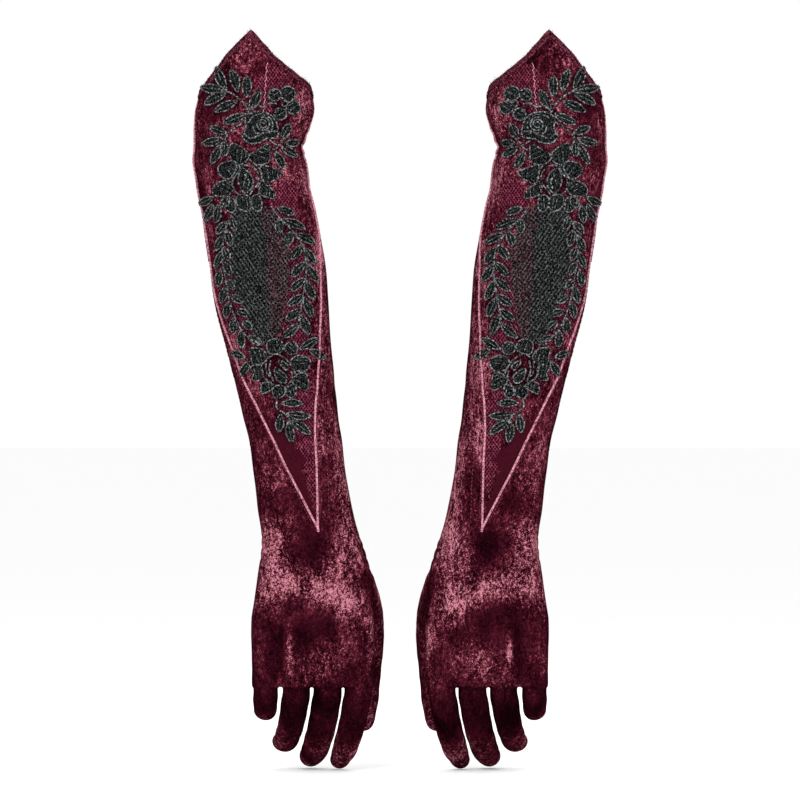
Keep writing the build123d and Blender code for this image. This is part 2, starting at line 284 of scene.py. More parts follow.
def new_object(name, data):
    """An object in the scene."""
    obj = bpy.data.objects.new(name, data)
    bpy.context.scene.collection.objects.link(obj)
    return obj


def build(name, mesh, side, material, attributes=None):
    """A Blender object from a Mesh, mirrored for the left glove."""
    points = np.concatenate(mesh.points) * MM
    normals = np.concatenate(mesh.normals)
    faces = mesh.faces
    if side == "left":
        points = points * np.array([-1.0, 1.0, 1.0])
        normals = normals * np.array([-1.0, 1.0, 1.0])
        faces = [face[::-1] for face in faces]
    data = bpy.data.meshes.new(name)
    data.from_pydata(points.tolist(), [], faces)
    data.validate()
    data.update()
    data.polygons.foreach_set("use_smooth", [True] * len(data.polygons))
    rest = data.attributes.new("rest", "FLOAT_VECTOR", "POINT")
    rest.data.foreach_set("vector", points.astype(np.float32).ravel())
    for key, values in (attributes or {}).items():
        layer = data.attributes.new(key, "FLOAT", "POINT")
        layer.data.foreach_set("value", np.asarray(values, np.float32).ravel())
    if np.abs(normals).sum() > 0:
        data.normals_split_custom_set_from_vertices(unit(normals).tolist())
    data.materials.append(material)
    return new_object(name, data)


# ---------------------------------------------------------------- materials

def node_tree(name):
    """A new material, its node tree and its shader."""
    material = bpy.data.materials.new(name)
    material.use_nodes = True
    tree = material.node_tree
    return material, tree, tree.nodes["Principled BSDF"]


def add_node(tree, kind, **values):
    """A node with its properties, and its inputs by name."""
    node = tree.nodes.new(kind)
    for key, value in values.items():
        if hasattr(node, key):
            setattr(node, key, value)
        else:
            node.inputs[key.replace("_", " ")].default_value = value
    return node


def rest_place(tree, stretch=(1.0, 1.0, 1.0)):
    """The resting place of each point, so that patterns stay on the cloth."""
    place = add_node(tree, "ShaderNodeAttribute", attribute_name="rest")
    mapping = add_node(tree, "ShaderNodeMapping")
    mapping.inputs["Scale"].default_value = stretch
    tree.links.new(place.outputs["Vector"], mapping.inputs["Vector"])
    return mapping.outputs["Vector"]


def noise(tree, place, scale, detail, rough, distortion=0.0):
    """A noise pattern from 0 to 1."""
    node = add_node(tree, "ShaderNodeTexNoise", Scale=scale, Detail=detail, Roughness=rough,
                    Distortion=distortion)
    tree.links.new(place, node.inputs["Vector"])
    return node.outputs["Fac"]


def math_node(tree, operation, a, b=None):
    """A calculation on one or two values, each a number or another node's output."""
    node = add_node(tree, "ShaderNodeMath", operation=operation)
    for slot, value in enumerate((a, b)):
        if value is None:
            continue
        if isinstance(value, (int, float)):
            node.inputs[slot].default_value = value
        else:
            tree.links.new(value, node.inputs[slot])
    return node.outputs["Value"]


def ramp(tree, value, stops):
    """A colour for each value, from stops of place and colour."""
    node = tree.nodes.new("ShaderNodeValToRGB")
    elements = node.color_ramp.elements
    while len(elements) < len(stops):
        elements.new(0.5)
    for element, (place, colour) in zip(elements, stops):
        element.position = place
        element.color = (*colour, 1.0)
    tree.links.new(value, node.inputs["Fac"])
    return node.outputs["Color"]


def bump(tree, shader, height, distance, strength):
    """A relief of the surface: its depth is in metres."""
    node = add_node(tree, "ShaderNodeBump", Strength=strength, Distance=distance)
    tree.links.new(height, node.inputs["Height"])
    tree.links.new(node.outputs["Normal"], shader.inputs["Normal"])


def attribute(tree, name):
    """A number stored with each point of the mesh."""
    return add_node(tree, "ShaderNodeAttribute", attribute_name=name).outputs["Fac"]


# The pile's colour from standing to lying flat: dark maroon, rising to painted rose sheen in the upper
# stops.
VELVET_STOPS = [
    (0.00, (0.0035, 0.0004, 0.0012)),
    (0.22, (0.0140, 0.0013, 0.0036)),
    (0.45, (0.0360, 0.0036, 0.0088)),
    (0.62, (0.0820, 0.0110, 0.0200)),
    (0.80, (0.2000, 0.0460, 0.0680)),
    (1.00, (0.4200, 0.1600, 0.2000)),
]


def scaled(tree, value, middle, factor):
    """A value's distance from a middle, made larger or smaller."""
    return math_node(tree, "MULTIPLY", math_node(tree, "SUBTRACT", value, middle), factor)


def total(tree, *values):
    """The sum of several values."""
    result = values[0]
    for value in values[1:]:
        result = math_node(tree, "ADD", result, value)
    return result


def pile_value(tree):
    """How much light the crushed pile throws back: crisp flecks, closer where it lies flat."""
    place = rest_place(tree, (1.0, 1.0, 0.55))
    broad = noise(tree, place, 45.0, 2.0, 0.5, 0.8)
    patch = noise(tree, rest_place(tree, (1.0, 1.0, 0.42)), 200.0, 3.0, 0.62, 1.0)
    fleck = noise(tree, rest_place(tree, (1.0, 1.0, 0.75)), 620.0, 3.0, 0.75, 0.4)
    grain = noise(tree, rest_place(tree), 1500.0, 2.0, 0.7)
    # Painted sheen: the shine map lightens the pile's colour and sharpens its flecks where the pile lies
    # flat.
    shine_here = attribute(tree, "shine")
    crushed = math_node(tree, "ADD", scaled(tree, shine_here, 0.5, 1.5), 0.72)
    crushed = math_node(tree, "MINIMUM", math_node(tree, "MAXIMUM", crushed, 0.30), 1.1)
    flecks = total(tree, scaled(tree, patch, 0.5, 1.4), scaled(tree, fleck, 0.5, 2.8),
                   scaled(tree, grain, 0.5, 2.5))
    value = total(tree, scaled(tree, shine_here, 0.5, 0.72), scaled(tree, broad, 0.5, 0.8),
                  math_node(tree, "MULTIPLY", flecks, crushed), 0.42)
    return math_node(tree, "MAXIMUM", value, 0.0), patch, fleck, grain


def matt(shader):
    """Pile swallows light, so nothing mirrors the room."""
    shader.inputs["Roughness"].default_value = 1.0
    shader.inputs["Specular IOR Level"].default_value = 0.0


def pile_bump(tree, shader, patch, fleck, grain):
    """The relief of the crushed pile."""
    height = total(tree, math_node(tree, "MULTIPLY", patch, 0.9), math_node(tree, "MULTIPLY", fleck, 0.7),
                   math_node(tree, "MULTIPLY", grain, 0.4))
    bump(tree, shader, height, 0.0012, 0.8)


def velvet_material():
    """Crushed velvet: dark maroon where the pile stands, with painted rose sheen where it lies flat."""
    material, tree, shader = node_tree("crushed_velvet")
    value, patch, fleck, grain = pile_value(tree)
    tree.links.new(ramp(tree, value, VELVET_STOPS), shader.inputs["Base Color"])
    matt(shader)
    pile_bump(tree, shader, patch, fleck, grain)
    return material


def net_pattern(tree, place, pitch):
    """A fine diamond net seen along Y: 1 on its threads, 0 in its holes."""
    split = add_node(tree, "ShaderNodeSeparateXYZ")
    tree.links.new(place, split.inputs["Vector"])
    threads = []
    for sign in (1.0, -1.0):
        drift = math_node(tree, "MULTIPLY", split.outputs["Z"], sign * 0.7)
        slant = math_node(tree, "ADD", split.outputs["X"], drift)
        phase = math_node(tree, "MULTIPLY", slant, 2 * math.pi / pitch)
        wave = math_node(tree, "ABSOLUTE", math_node(tree, "SINE", phase))
        threads.append(math_node(tree, "POWER", wave, 1.6))
    return math_node(tree, "SUBTRACT", 1.0, math_node(tree, "MULTIPLY", threads[0], threads[1]))


# The mix node's colour sockets, whose names its number and vector sockets have as well.
MIX_FIRST, MIX_SECOND, MIX_RESULT = 6, 7, 2


def mixed(tree, share, first, second):
    """One colour turning into another."""
    mix = add_node(tree, "ShaderNodeMix", data_type="RGBA", clamp_factor=True)
    tree.links.new(share, mix.inputs["Factor"])
    tree.links.new(first, mix.inputs[MIX_FIRST])
    tree.links.new(second, mix.inputs[MIX_SECOND])
    return mix.outputs[MIX_RESULT]


def panel_material():
    """The V panel: flocked net, with bare mesh in places and a plain strip by the outer cord."""
    material, tree, shader = node_tree("flocked_net")
    value, patch, fleck, grain = pile_value(tree)
    velvet = ramp(tree, value, VELVET_STOPS)
    threads = net_pattern(tree, rest_place(tree), 0.0042)
    mesh_value = total(tree, math_node(tree, "MULTIPLY", threads, 0.62), scaled(tree, fleck, 0.5, 1.5),
                       scaled(tree, grain, 0.5, 1.0), -0.02)
    net = ramp(tree, mesh_value, [(0.00, (0.0050, 0.0006, 0.0018)), (0.35, (0.0250, 0.0025, 0.0070)),
                                  (0.60, (0.0900, 0.0120, 0.0260)), (1.00, (0.3100, 0.0900, 0.1300))])
    ragged = scaled(tree, patch, 0.5, 1.1)
    bare = math_node(tree, "GREATER_THAN", math_node(tree, "ADD", attribute(tree, "net"), ragged), 0.5)
    plain_value = total(tree, scaled(tree, grain, 0.5, 0.7), 0.38)
    plain = ramp(tree, plain_value, VELVET_STOPS)
    frayed_edge = total(tree, attribute(tree, "plain"), scaled(tree, fleck, 0.5, 0.6))
    smooth = math_node(tree, "GREATER_THAN", frayed_edge, 0.0)
    colour = mixed(tree, smooth, mixed(tree, bare, velvet, net), plain)
    tree.links.new(colour, shader.inputs["Base Color"])
    matt(shader)
    height = total(tree, math_node(tree, "MULTIPLY", patch, 0.8), math_node(tree, "MULTIPLY", threads, 0.4))
    bump(tree, shader, height, 0.0009, 0.7)
    return material


def thread_material(name, dark, light, scale, low=0.36, high=0.66, gloss=0.0):
    """Twisted thread: fine flecks between two colours, with a ribbed surface."""
    material, tree, shader = node_tree(name)
    value = noise(tree, rest_place(tree), scale, 3.0, 0.75, 0.3)
    tree.links.new(ramp(tree, value, [(low, dark), (high, light)]), shader.inputs["Base Color"])
    shader.inputs["Roughness"].default_value = 0.5 if gloss else 1.0
    shader.inputs["Specular IOR Level"].default_value = gloss
    bump(tree, shader, value, 0.0005, 0.8)
    return material


def stitch_material(name, dark, light):
    """Satin stitch: rows of thread across a leaf or petal, with painted sheen on the lighter rows."""
    material, tree, shader = node_tree(name)
    place = rest_place(tree)
    wave = add_node(tree, "ShaderNodeTexWave", Scale=300.0, Distortion=9.0, Detail=2.0)
    wave.inputs["Detail Scale"].default_value = 2.5
    tree.links.new(place, wave.inputs["Vector"])
    value = total(tree, math_node(tree, "MULTIPLY", wave.outputs["Fac"], 0.45),
                  scaled(tree, noise(tree, place, 1100.0, 2.0, 0.7), 0.5, 2.0), 0.15)
    tree.links.new(ramp(tree, value, [(0.42, dark), (1.00, light)]), shader.inputs["Base Color"])
    matt(shader)
    bump(tree, shader, value, 0.0004, 0.9)
    return material


VELVET = velvet_material()
PANEL = panel_material()
LINING = thread_material("lining", (0.012, 0.001, 0.004), (0.040, 0.005, 0.011), 900.0)
# The piping is a pink satin cord; its light flecks are painted satin highlights.
PIPING = thread_material("piping_cord", (0.090, 0.018, 0.030), (0.62, 0.27, 0.34), 900.0, 0.38, 0.62)
SEAM = thread_material("seam_edge", (0.006, 0.0006, 0.002), (0.17, 0.032, 0.055), 700.0, 0.42, 0.76)
STITCH = thread_material("topstitch", (0.04, 0.005, 0.012), (0.30, 0.08, 0.12), 1200.0)
# The lace is black thread: the grey flecks of its cords and net and the lighter rows of its stitches are
# painted highlights.
CORD = thread_material("lace_cord", (0.0014, 0.0015, 0.0017), (0.320, 0.330, 0.334),
                       760.0, 0.47, 0.70, 0.04)
FILL = stitch_material("lace_stitch", (0.0009, 0.0010, 0.0012), (0.076, 0.080, 0.082))
NET_CORD = thread_material("lace_net", (0.0014, 0.0015, 0.0017), (0.150, 0.154, 0.156),
                           700.0, 0.45, 0.76, 0.03)

# Painted sheen where the pile lies flat and shines, and darker patches elsewhere, seen from the front:
# centre x, level, reach across, reach along, strength.
SHINE_SPOTS = [
    (-88, -100, 11, 17, 0.38), (-78, -122, 15, 11, 0.38), (-56, -122, 18, 9, 0.22),
    (-34, -130, 9, 9, 0.40), (-31, -80, 7, 20, 0.42), (-40, -108, 12, 8, 0.20),
    (-88, -50, 14, 26, -0.10), (-36, -34, 6, 26, 0.36), (-18, -166, 4.5, 22, 0.40),
    (-58, -94, 9, 13, -0.30), (-66, -152, 28, 15, -0.28), (-86, -150, 9, 18, -0.10),
    (-73, -166, 2.2, 12, 0.62), (-66, 196, 9, 17, 0.32), (-60, 150, 6, 22, 0.36),
    (-127, 120, 6, 26, 0.02), (-122, 188, 16, 26, -0.14), (-104, 226, 14, 16, -0.06),
    (-84, 212, 8, 12, -0.22), (-62, 85, 4, 40, 0.18), (-46, 20, 6, 44, 0.16), (-52, 110, 5, 40, 0.22),
    (-112, -5, 12, 24, 0.10), (-72, -70, 14, 16, -0.12), (-60, -214, 46, 24, -0.38),
    (-78, 20, 20, 30, -0.06), (-47, -66, 7, 16, -0.18),
]
# Where the panel's flock gives way to bare net, in the same form.
NET_SPOTS = [
    (-80, 214, 13, 15, 0.9), (-97, 238, 6, 7, 0.5), (-75, 134, 9, 14, 0.95), (-66, 60, 9, 42, 0.8),
    (-116, 80, 8, 40, 0.55), (-62, -22, 7, 24, 0.95), (-58, -52, 4, 14, 0.9), (-90, 196, 8, 14, 0.6),
    (-70, 5, 9, 18, 0.75), (-94, 83, 22, 42, 0.9),
]


# The depth over which a pattern of the front gives way to that of the back.
FADE = 16.0


def spots(points, table, base):
    """A soft map over the front of the glove from a table of spots."""
    x, y, z = points[..., 0], points[..., 1] - ARM_Y, points[..., 2] - DROP
    value = np.full(x.shape, base)
    front = np.clip(0.5 - y / FADE, 0.0, 1.0)
    for centre, level, across, along, strength in table:
        value += strength * front * np.exp(-((x - centre) / across) ** 2 - ((z - level) / along) ** 2)
    return value


# The plain strip of the panel lies to the left of this line: x and level.
PLAIN_LINE = [(-84.5, -14.0), (-79.0, -18.0), (-72.5, -27.0), (-66.0, -33.5), (-62.3, -39.0),
              (-65.5, -43.0), (-63.0, -52.0), (-59.5, -64.0), (-57.0, -75.0), (-55.0, -84.0)]
PLAIN_TOP = -14.0


def plain(points):
    """How far a point of the panel lies inside the plain strip, in millimetres."""
    x, z = points[..., 0], points[..., 2] - DROP
    border = smooth_table([row[1] for row in PLAIN_LINE], [row[0] for row in PLAIN_LINE], z)
    jagged = 0.7 * np.sign(np.sin(z * 1.1)) + 0.4 * np.sin(z * 2.3)
    return np.where(z < PLAIN_TOP, np.clip((border + jagged - x) * 0.5, -1.0, 1.0), -1.0)


def shine(points):
    """The velvet's painted sheen map, with broad random patches on the sides and the back, and painted
    shade along the arm's left and right sides.
    """
    x, y, z = points[..., 0], points[..., 1], points[..., 2]
    value = spots(points, SHINE_SPOTS, 0.50)
    value += 0.13 * np.sin(x / 9.0 + 2.1 * np.sin(z / 21.0)) * np.sin(z / 14.0 + 1.7 * np.sin(y / 11.0))
    back = np.clip(0.5 + (y - ARM_Y) / FADE, 0.0, 1.0)
    value += 0.12 * back * np.sin(z / 26.0 + x / 13.0)
    # Painted shade: darker along the arm's left and right sides, which the camera sees edge-on.
    value -= 0.22 * np.exp(-((y - ARM_Y) / 7.0) ** 2)
    return value


# ---------------------------------------------------------------- the sleeve


# Rows down the sleeve: their spacing, the first level one, where the upper and lower
# lengths meet, the last, and the rows that follow the cuff's shaped top.
ROW = 1.8
LOW_TOP = 198.0
SPLIT = 30.0
LOWEST = -111.0
TOP_ROWS = 22
VELVET_COLUMNS, PANEL_COLUMNS = 110, 64
PANEL_SINK = -0.35


def sleeve_levels():
    """Levels below the cuff's shaped top, evenly spaced down to the lowest."""
    levels = list(np.arange(LOW_TOP, LOWEST, -ROW))
    return np.array(levels + [LOWEST])


def sleeve_grid(first, last, columns, levels, with_top):
    """Angles and levels of a strip of the sleeve between two edges."""
    share = np.linspace(0, 1, columns)
    rows = []
    if with_top:
        mouth = np.array(BACK_Z)
        start = first(mouth) + share * (last(mouth) - first(mouth))
        for row in range(TOP_ROWS):
            level = LOW_TOP + (top_edge(start) - LOW_TOP) * (1 - row / TOP_ROWS)
            rows.append((first(level) + share * (last(level) - first(level)), level))
    for z in levels:
        level = np.full(columns, z)
        rows.append((first(level) + share * (last(level) - first(level)), level))
    return np.array([row[0] for row in rows]), np.array([row[1] for row in rows])


def strip(first, last, columns, levels, with_top, lift=0.0):
    """Points and normals of a strip of the sleeve."""
    angle, z = sleeve_grid(first, last, columns, levels, with_top)
    return surface(angle, z, lift), surface_normal(angle, z)


def add_cloth(name, side, mesh, material, thickness=0.9):
    """A cloth piece with its lining inside."""
    points = np.concatenate(mesh.points)
    looks = {"shine": shine(points), "net": spots(points, NET_SPOTS, 0.0), "plain": plain(points)}
    obj = build(name, mesh, side, material, looks)
    obj.data.materials.append(LINING)
    solid = obj.modifiers.new("thickness", "SOLIDIFY")
    solid.thickness = thickness * MM
    solid.offset = -1.0
    solid.use_rim = False
    solid.material_offset = 1
    return obj


def velvet_first(z):
    """The velvet's edge at the inner side of the V, and one line below its tip."""
    return np.where(np.asarray(z) > TIP_LEVEL, inner_edge(z), inner_edge(TIP_LEVEL))


def velvet_last(z):
    """The velvet's edge at the outer side of the V, a turn further on."""
    return np.where(np.asarray(z) > TIP_LEVEL, outer_edge(z), inner_edge(TIP_LEVEL)) + 2 * math.pi


def make_sleeve(side):
    """The velvet and the V panel, each in two lengths that meet on the forearm."""
    levels = sleeve_levels()
    upper = levels[levels >= SPLIT]
    upper = np.append(upper, SPLIT) if upper[-1] > SPLIT else upper
    lower = np.append([SPLIT], levels[levels < SPLIT])
    low_panel = np.append(lower[lower > TIP_LEVEL], TIP_LEVEL)
    made = {}
    for name, rows, with_top in (("upper", upper, True), ("lower", lower, False)):
        mesh = Mesh()
        points, normals = strip(velvet_first, velvet_last, VELVET_COLUMNS, rows, with_top)
        mesh.grid(points, normals)
        made["velvet_" + name] = add_cloth(side + "_velvet_" + name, side, mesh, VELVET)
        panel = Mesh()
        rows = rows if with_top else low_panel
        points, normals = strip(outer_edge, inner_edge, PANEL_COLUMNS, rows, with_top, PANEL_SINK)
        panel.grid(points, normals)
        made["panel_" + name] = add_cloth(side + "_panel_" + name, side, panel, PANEL)
    return made


# ---------------------------------------------------------------- hand and digits

# Bends between knuckles in degrees, lengths past the middle knuckle, and radii at the
# root, middle knuckle, last knuckle and tip.
DIGITS = {
    "thumb": dict(bends=(6, 4), lengths=(18.0, 10.5), radii=(11.0, 9.9, 9.3, 7.4), first_drop=0.0),
    "index": dict(bends=(26, 20), lengths=(23.0, 16.3), radii=(9.3, 9.0, 8.4, 6.5), first_drop=3.0),
    "middle": dict(bends=(32, 22), lengths=(26.5, 17.0), radii=(9.7, 9.5, 9.0, 7.6), first_drop=3.0),
    "ring": dict(bends=(34, 22), lengths=(25.0, 16.0), radii=(9.4, 8.8, 8.3, 7.3), first_drop=3.0),
    "little": dict(bends=(48, 24), lengths=(15.4, 10.6), radii=(8.4, 7.7, 6.8, 6.0), first_drop=3.0),
}
# A digit's first ring against its root radius, the points round a digit and round a solid
# that the hand is welded from, and the spacing of a digit's rings.
NECK = 0.97
SIDES = 36
PATH_SIDES = 28
PATH_STEP = 1.1


def turn_about(vector, axis, degrees):
    """A vector turned about a unit axis."""
    a = math.radians(degrees)
    return (vector * math.cos(a) + np.cross(axis, vector) * math.sin(a)
            + axis * (axis @ vector) * (1 - math.cos(a)))


def digit_frame(name):
    """Knuckles, bend axis and fold ends of a digit of the right glove."""
    root_joint, middle_joint = JOINTS[f"right_{name}_root"], JOINTS[f"right_{name}_middle"]
    hinge = np.array(root_joint["pos_m"]) / MM
    knuckle = np.array(middle_joint["pos_m"]) / MM
    axis = unit(np.array(root_joint["axis"], float))
    first = unit(knuckle - hinge)
    second = turn_about(first, axis, DIGITS[name]["bends"][0])
    third = turn_about(second, axis, DIGITS[name]["bends"][1])
    last = knuckle + second * DIGITS[name]["lengths"][0]
    tip = last + third * DIGITS[name]["lengths"][1]
    root_z = WEB if name != "thumb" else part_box("right_thumb_gusset")[0].z / MM
    root = np.array([hinge[0], hinge[1], root_z - DIGITS[name]["first_drop"]])
    return root, hinge, knuckle, last, tip, axis, (first, second)


# Half the length of each digit's fold at its root and at its middle knuckle.
FOLD_HALVES = {"thumb": (6.0, 6.5), "little": (6.0, 6.2)}
USUAL_FOLD_HALVES = (6.5, 7.5)


def rounded_path(points, reach):
    """A path through straight runs with a smooth bend at each knuckle, and its tangents."""
    path = []
    for number in range(len(points) - 1):
        start, end = points[number], points[number + 1]
        way = unit(end - start)
        a = start if number == 0 else start + way * reach[number]
        b = end if number == len(points) - 2 else end - way * reach[number + 1]
        if number > 0:
            before = start - unit(start - points[number - 1]) * reach[number]
            count = max(4, int(2 * reach[number] / PATH_STEP))
            for t in np.linspace(0, 1, count, endpoint=False):
                path.append((1 - t) ** 2 * before + 2 * t * (1 - t) * start + t * t * a)
        count = max(2, int(np.linalg.norm(b - a) / PATH_STEP))
        for t in np.linspace(0, 1, count, endpoint=number == len(points) - 2):
            path.append(a + (b - a) * t)
    path = np.array(path)
    keep = np.concatenate([[True], np.linalg.norm(np.diff(path, axis=0), axis=1) > 0.05])
    path = path[keep]
    return path, unit(np.gradient(path, axis=0))


# How far the bend reaches at a digit's root, at most, and at its last knuckle; the angles
# of the rings that close the tip and how far they go; how flat a digit is; and, for the
# creases at the middle and the last knuckle, depths, half their distance, and width.
ROOT_REACH, LAST_REACH = 4.4, 5.5
TIP_ANGLES = (14, 28, 41, 53, 64, 74, 83, 88.5)
TIP_STRETCH = 1.12
FLATNESS = 0.94
CREASE_DEPTHS = (0.45, 0.35)
CREASE_APART = 1.6
CREASE_WIDTH = 0.9


def digit_tube(name):
    """Rings of a finger or thumb from its root to its tip, their normals and places."""
    root, hinge, knuckle, last, tip, axis, ways = digit_frame(name)
    halves = FOLD_HALVES.get(name, USUAL_FOLD_HALVES)
    r0, r1, r2, r3 = DIGITS[name]["radii"]
    reaches = [0.0, min(ROOT_REACH, 0.8 * np.linalg.norm(hinge - root)), halves[1], LAST_REACH, 0.0]
    path, way = rounded_path([root, hinge, knuckle, last, tip], reaches)
    way[0] = (0.0, 0.0, -1.0)
    along = distances(path)
    marks = [along[np.argmin(np.linalg.norm(path - p, axis=1))] for p in (hinge, knuckle, last)]
    stops = [0.0, 5.0, marks[0] + 4.0, marks[1], marks[2], along[-1]]
    sizes = [r0 * NECK, r0 * 0.985, r0, r1, r2, r3]
    radius = np.interp(along, stops, sizes)
    kernel = np.ones(5) / 5
    smooth = np.convolve(np.pad(radius, 2, mode="edge"), kernel, mode="valid")
    smooth[0] = radius[0]
    radius = smooth
    side = unit(axis[None] - (way @ axis)[:, None] * way)
    palm = np.cross(side, way)
    # The blunt end: rings that close round the tip.
    rings = [(path[i], side[i], palm[i], way[i], radius[i], 0.0) for i in range(len(path))]
    for angle in TIP_ANGLES:
        a = math.radians(angle)
        rings.append((path[-1] + way[-1] * r3 * TIP_STRETCH * math.sin(a), side[-1], palm[-1], way[-1],
                      r3 * math.cos(a) ** 0.9, a))
    turn = full_turn(SIDES)
    points, normals = [], []
    for number, (centre, across, down, forward, size, slant) in enumerate(rings):
        lift = np.zeros(SIDES)
        if number < len(path):
            for mark, depth in zip(marks[1:], CREASE_DEPTHS):
                for shift in (-CREASE_APART, CREASE_APART):
                    near = math.exp(-((along[number] - mark - shift) / CREASE_WIDTH) ** 2)
                    lift -= depth * near * np.clip(np.sin(turn), 0, 1)
            lift += 0.12 * np.sin(3 * turn + along[number] / 2.3) * min(1.0, along[number] / 6.0)
        out = np.cos(turn)[:, None] * across + np.sin(turn)[:, None] * down
        flat = np.cos(turn)[:, None] * across + FLATNESS * np.sin(turn)[:, None] * down
        if number == 0:
            flat = out
        points.append(centre + flat * (size + lift)[:, None])
        normals.append(out * math.cos(slant) + forward * math.sin(slant))
    split = (np.abs(along - (marks[0] + halves[0] + marks[1] - halves[1]) / 2)).argmin()
    base_start = hinge + ways[0] * halves[0]
    base_end = knuckle - ways[0] * halves[1]
    tip_start = knuckle + ways[1] * halves[1]
    return np.array(points), np.array(normals), split, root, base_start, base_end, tip_start


def make_digit(side, name):
    """A finger in two lengths, parted between its root and its middle knuckle."""
    points, normals, split, root, base_start, base_end, tip_start = digit_tube(name)
    root_piece, end_piece = Mesh(), Mesh()
    root_piece.grid(points[:split + 1], normals[:split + 1], closed=True)
    end_piece.grid(points[split:], normals[split:], closed=True)
    end_piece.faces.append(tuple(range(end_piece.count - 1, end_piece.count - 1 - SIDES, -1)))
    first = add_cloth(f"{side}_{name}_root_cloth", side, root_piece, VELVET, 0.8)
    second = add_cloth(f"{side}_{name}_end_cloth", side, end_piece, VELVET, 0.8)
    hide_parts(f"{side}_{name}_base")
    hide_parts(f"{side}_{name}_fold", f"{side}_{name}_tip")
    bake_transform(first)
    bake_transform(second)


def closed_loft(rings):
    """A closed solid through rings of points."""
    mesh = Mesh()
    rings = np.asarray(rings)
    mesh.grid(rings, closed=True)
    columns = rings.shape[1]
    mesh.faces.append(tuple(range(columns)))
    mesh.faces.append(tuple(range(mesh.count - 1, mesh.count - 1 - columns, -1)))
    return mesh


def ball_path(points, radii):
    """Rings square to a path, for a solid such as the thumb's root."""
    points = np.asarray(points, float)
    way = unit(np.gradient(points, axis=0))
    turn = full_turn(PATH_SIDES)
    rings = []
    for centre, direction, radius in zip(points, way, radii):
        across = unit(np.cross(direction, [0.0, 1.0, 0.0]))
        over = np.cross(across, direction)
        rings.append(centre + radius * (np.cos(turn)[:, None] * across + np.sin(turn)[:, None] * over))
    return rings


# The hand's top, the size of the weld's voxels, how many times its skin is smoothed, the
# level that parts its open top from the digits' openings, and how far round the thumb's
# root the cut for the thumb reaches.
HAND_TOP = LOWEST
VOXEL = 1.15
SMOOTH_ROUNDS = 14
TOP_ABOVE = -120.0
THUMB_REACH = 14.5


def hand_solids():
    """Overlapping solids that the hand is welded from."""
    turn = np.linspace(-math.pi, math.pi, 72, endpoint=False)
    solids = [closed_loft([surface(turn, z) for z in np.append(np.arange(-103.0, -188.5, -1.5), -189.7)])]
    for name in ("index", "middle", "ring", "little"):
        root = digit_frame(name)[0]
        radius = DIGITS[name]["radii"][0]
        levels = np.array([14.0, 8.0, 4.0, 1.5, -3.0, -6.0])
        sizes = radius * np.array([1.0, 1.02, 1.0, 0.965, NECK, NECK])
        solids.append(closed_loft(ball_path([root + [0, 0, z] for z in levels], sizes)))
    root, hinge = digit_frame("thumb")[:2]
    y = ARM_Y
    places = [(-40, y + 3, -104), (-35.5, y + 6.5, -112), (-30.5, y + 11, -122), (-26.5, y + 16, -133),
              (-23.3, y + 21.5, -143), (root[0], root[1], -150.0), (root[0], root[1], -157.0)]
    sizes = (11.0, 13.2, 14.2, 13.6, 12.2, 10.9, 10.3)
    solids.append(closed_loft(ball_path(places, sizes)))
    # The muscle at the thumb's root, which fills the space to the palm.
    solids.append(closed_loft(ball_path([(-46, y + 6, -112), (-42, y + 9, -128), (-36, y + 11, -145),
                                         (-33, y + 8, -160)], (7, 12, 11, 5))))
    return solids


def welded(solids):
    """One skin round overlapping solids, as points and four-sided faces."""
    joined = Mesh()
    for solid in solids:
        joined.add(np.concatenate(solid.points), solid.faces)
    data = bpy.data.meshes.new("weld")
    data.from_pydata((np.concatenate(joined.points) * MM).tolist(), [], joined.faces)
    obj = new_object("weld", data)
    remesh = obj.modifiers.new("remesh", "REMESH")
    remesh.mode = "VOXEL"
    remesh.voxel_size = VOXEL * MM
    skin = bpy.data.meshes.new_from_object(obj.evaluated_get(bpy.context.evaluated_depsgraph_get()))
    bpy.data.objects.remove(obj)
    return skin


def smooth_points(points, edges, fixed, rounds):
    """Taubin smoothing that leaves fixed points alone."""
    count = np.bincount(edges.ravel(), minlength=len(points)).astype(float)[:, None]
    for _ in range(rounds):
        for factor in (0.55, -0.57):
            around = np.zeros_like(points)
            np.add.at(around, edges[:, 0], points[edges[:, 1]])
            np.add.at(around, edges[:, 1], points[edges[:, 0]])
            moved = points + factor * (around / np.maximum(count, 1) - points)
            points = np.where(fixed[:, None], points, moved)
    return points


def cut_below(shape, level, near=None, reach=0.0, above=False):
    """Cut a bmesh at a level and drop what lies past it, all over or near a point."""

    def close(co):
        """Whether a place is near enough to be cut."""
        if near is None:
            return True
        aside = math.hypot(co.x - near[0] * MM, co.y - near[1] * MM)
        return aside < reach * MM and abs(co.z - level * MM) < 0.03

    parts = [v for v in shape.verts if close(v.co)]
    chosen = set(parts)
    edges = [e for e in shape.edges if e.verts[0] in chosen and e.verts[1] in chosen]
    faces = [f for f in shape.faces if all(v in chosen for v in f.verts)]
    bmesh.ops.bisect_plane(shape, geom=parts + edges + faces, plane_co=(0, 0, level * MM),
                           plane_no=(0, 0, 1), clear_outer=above, clear_inner=not above, dist=1e-6)


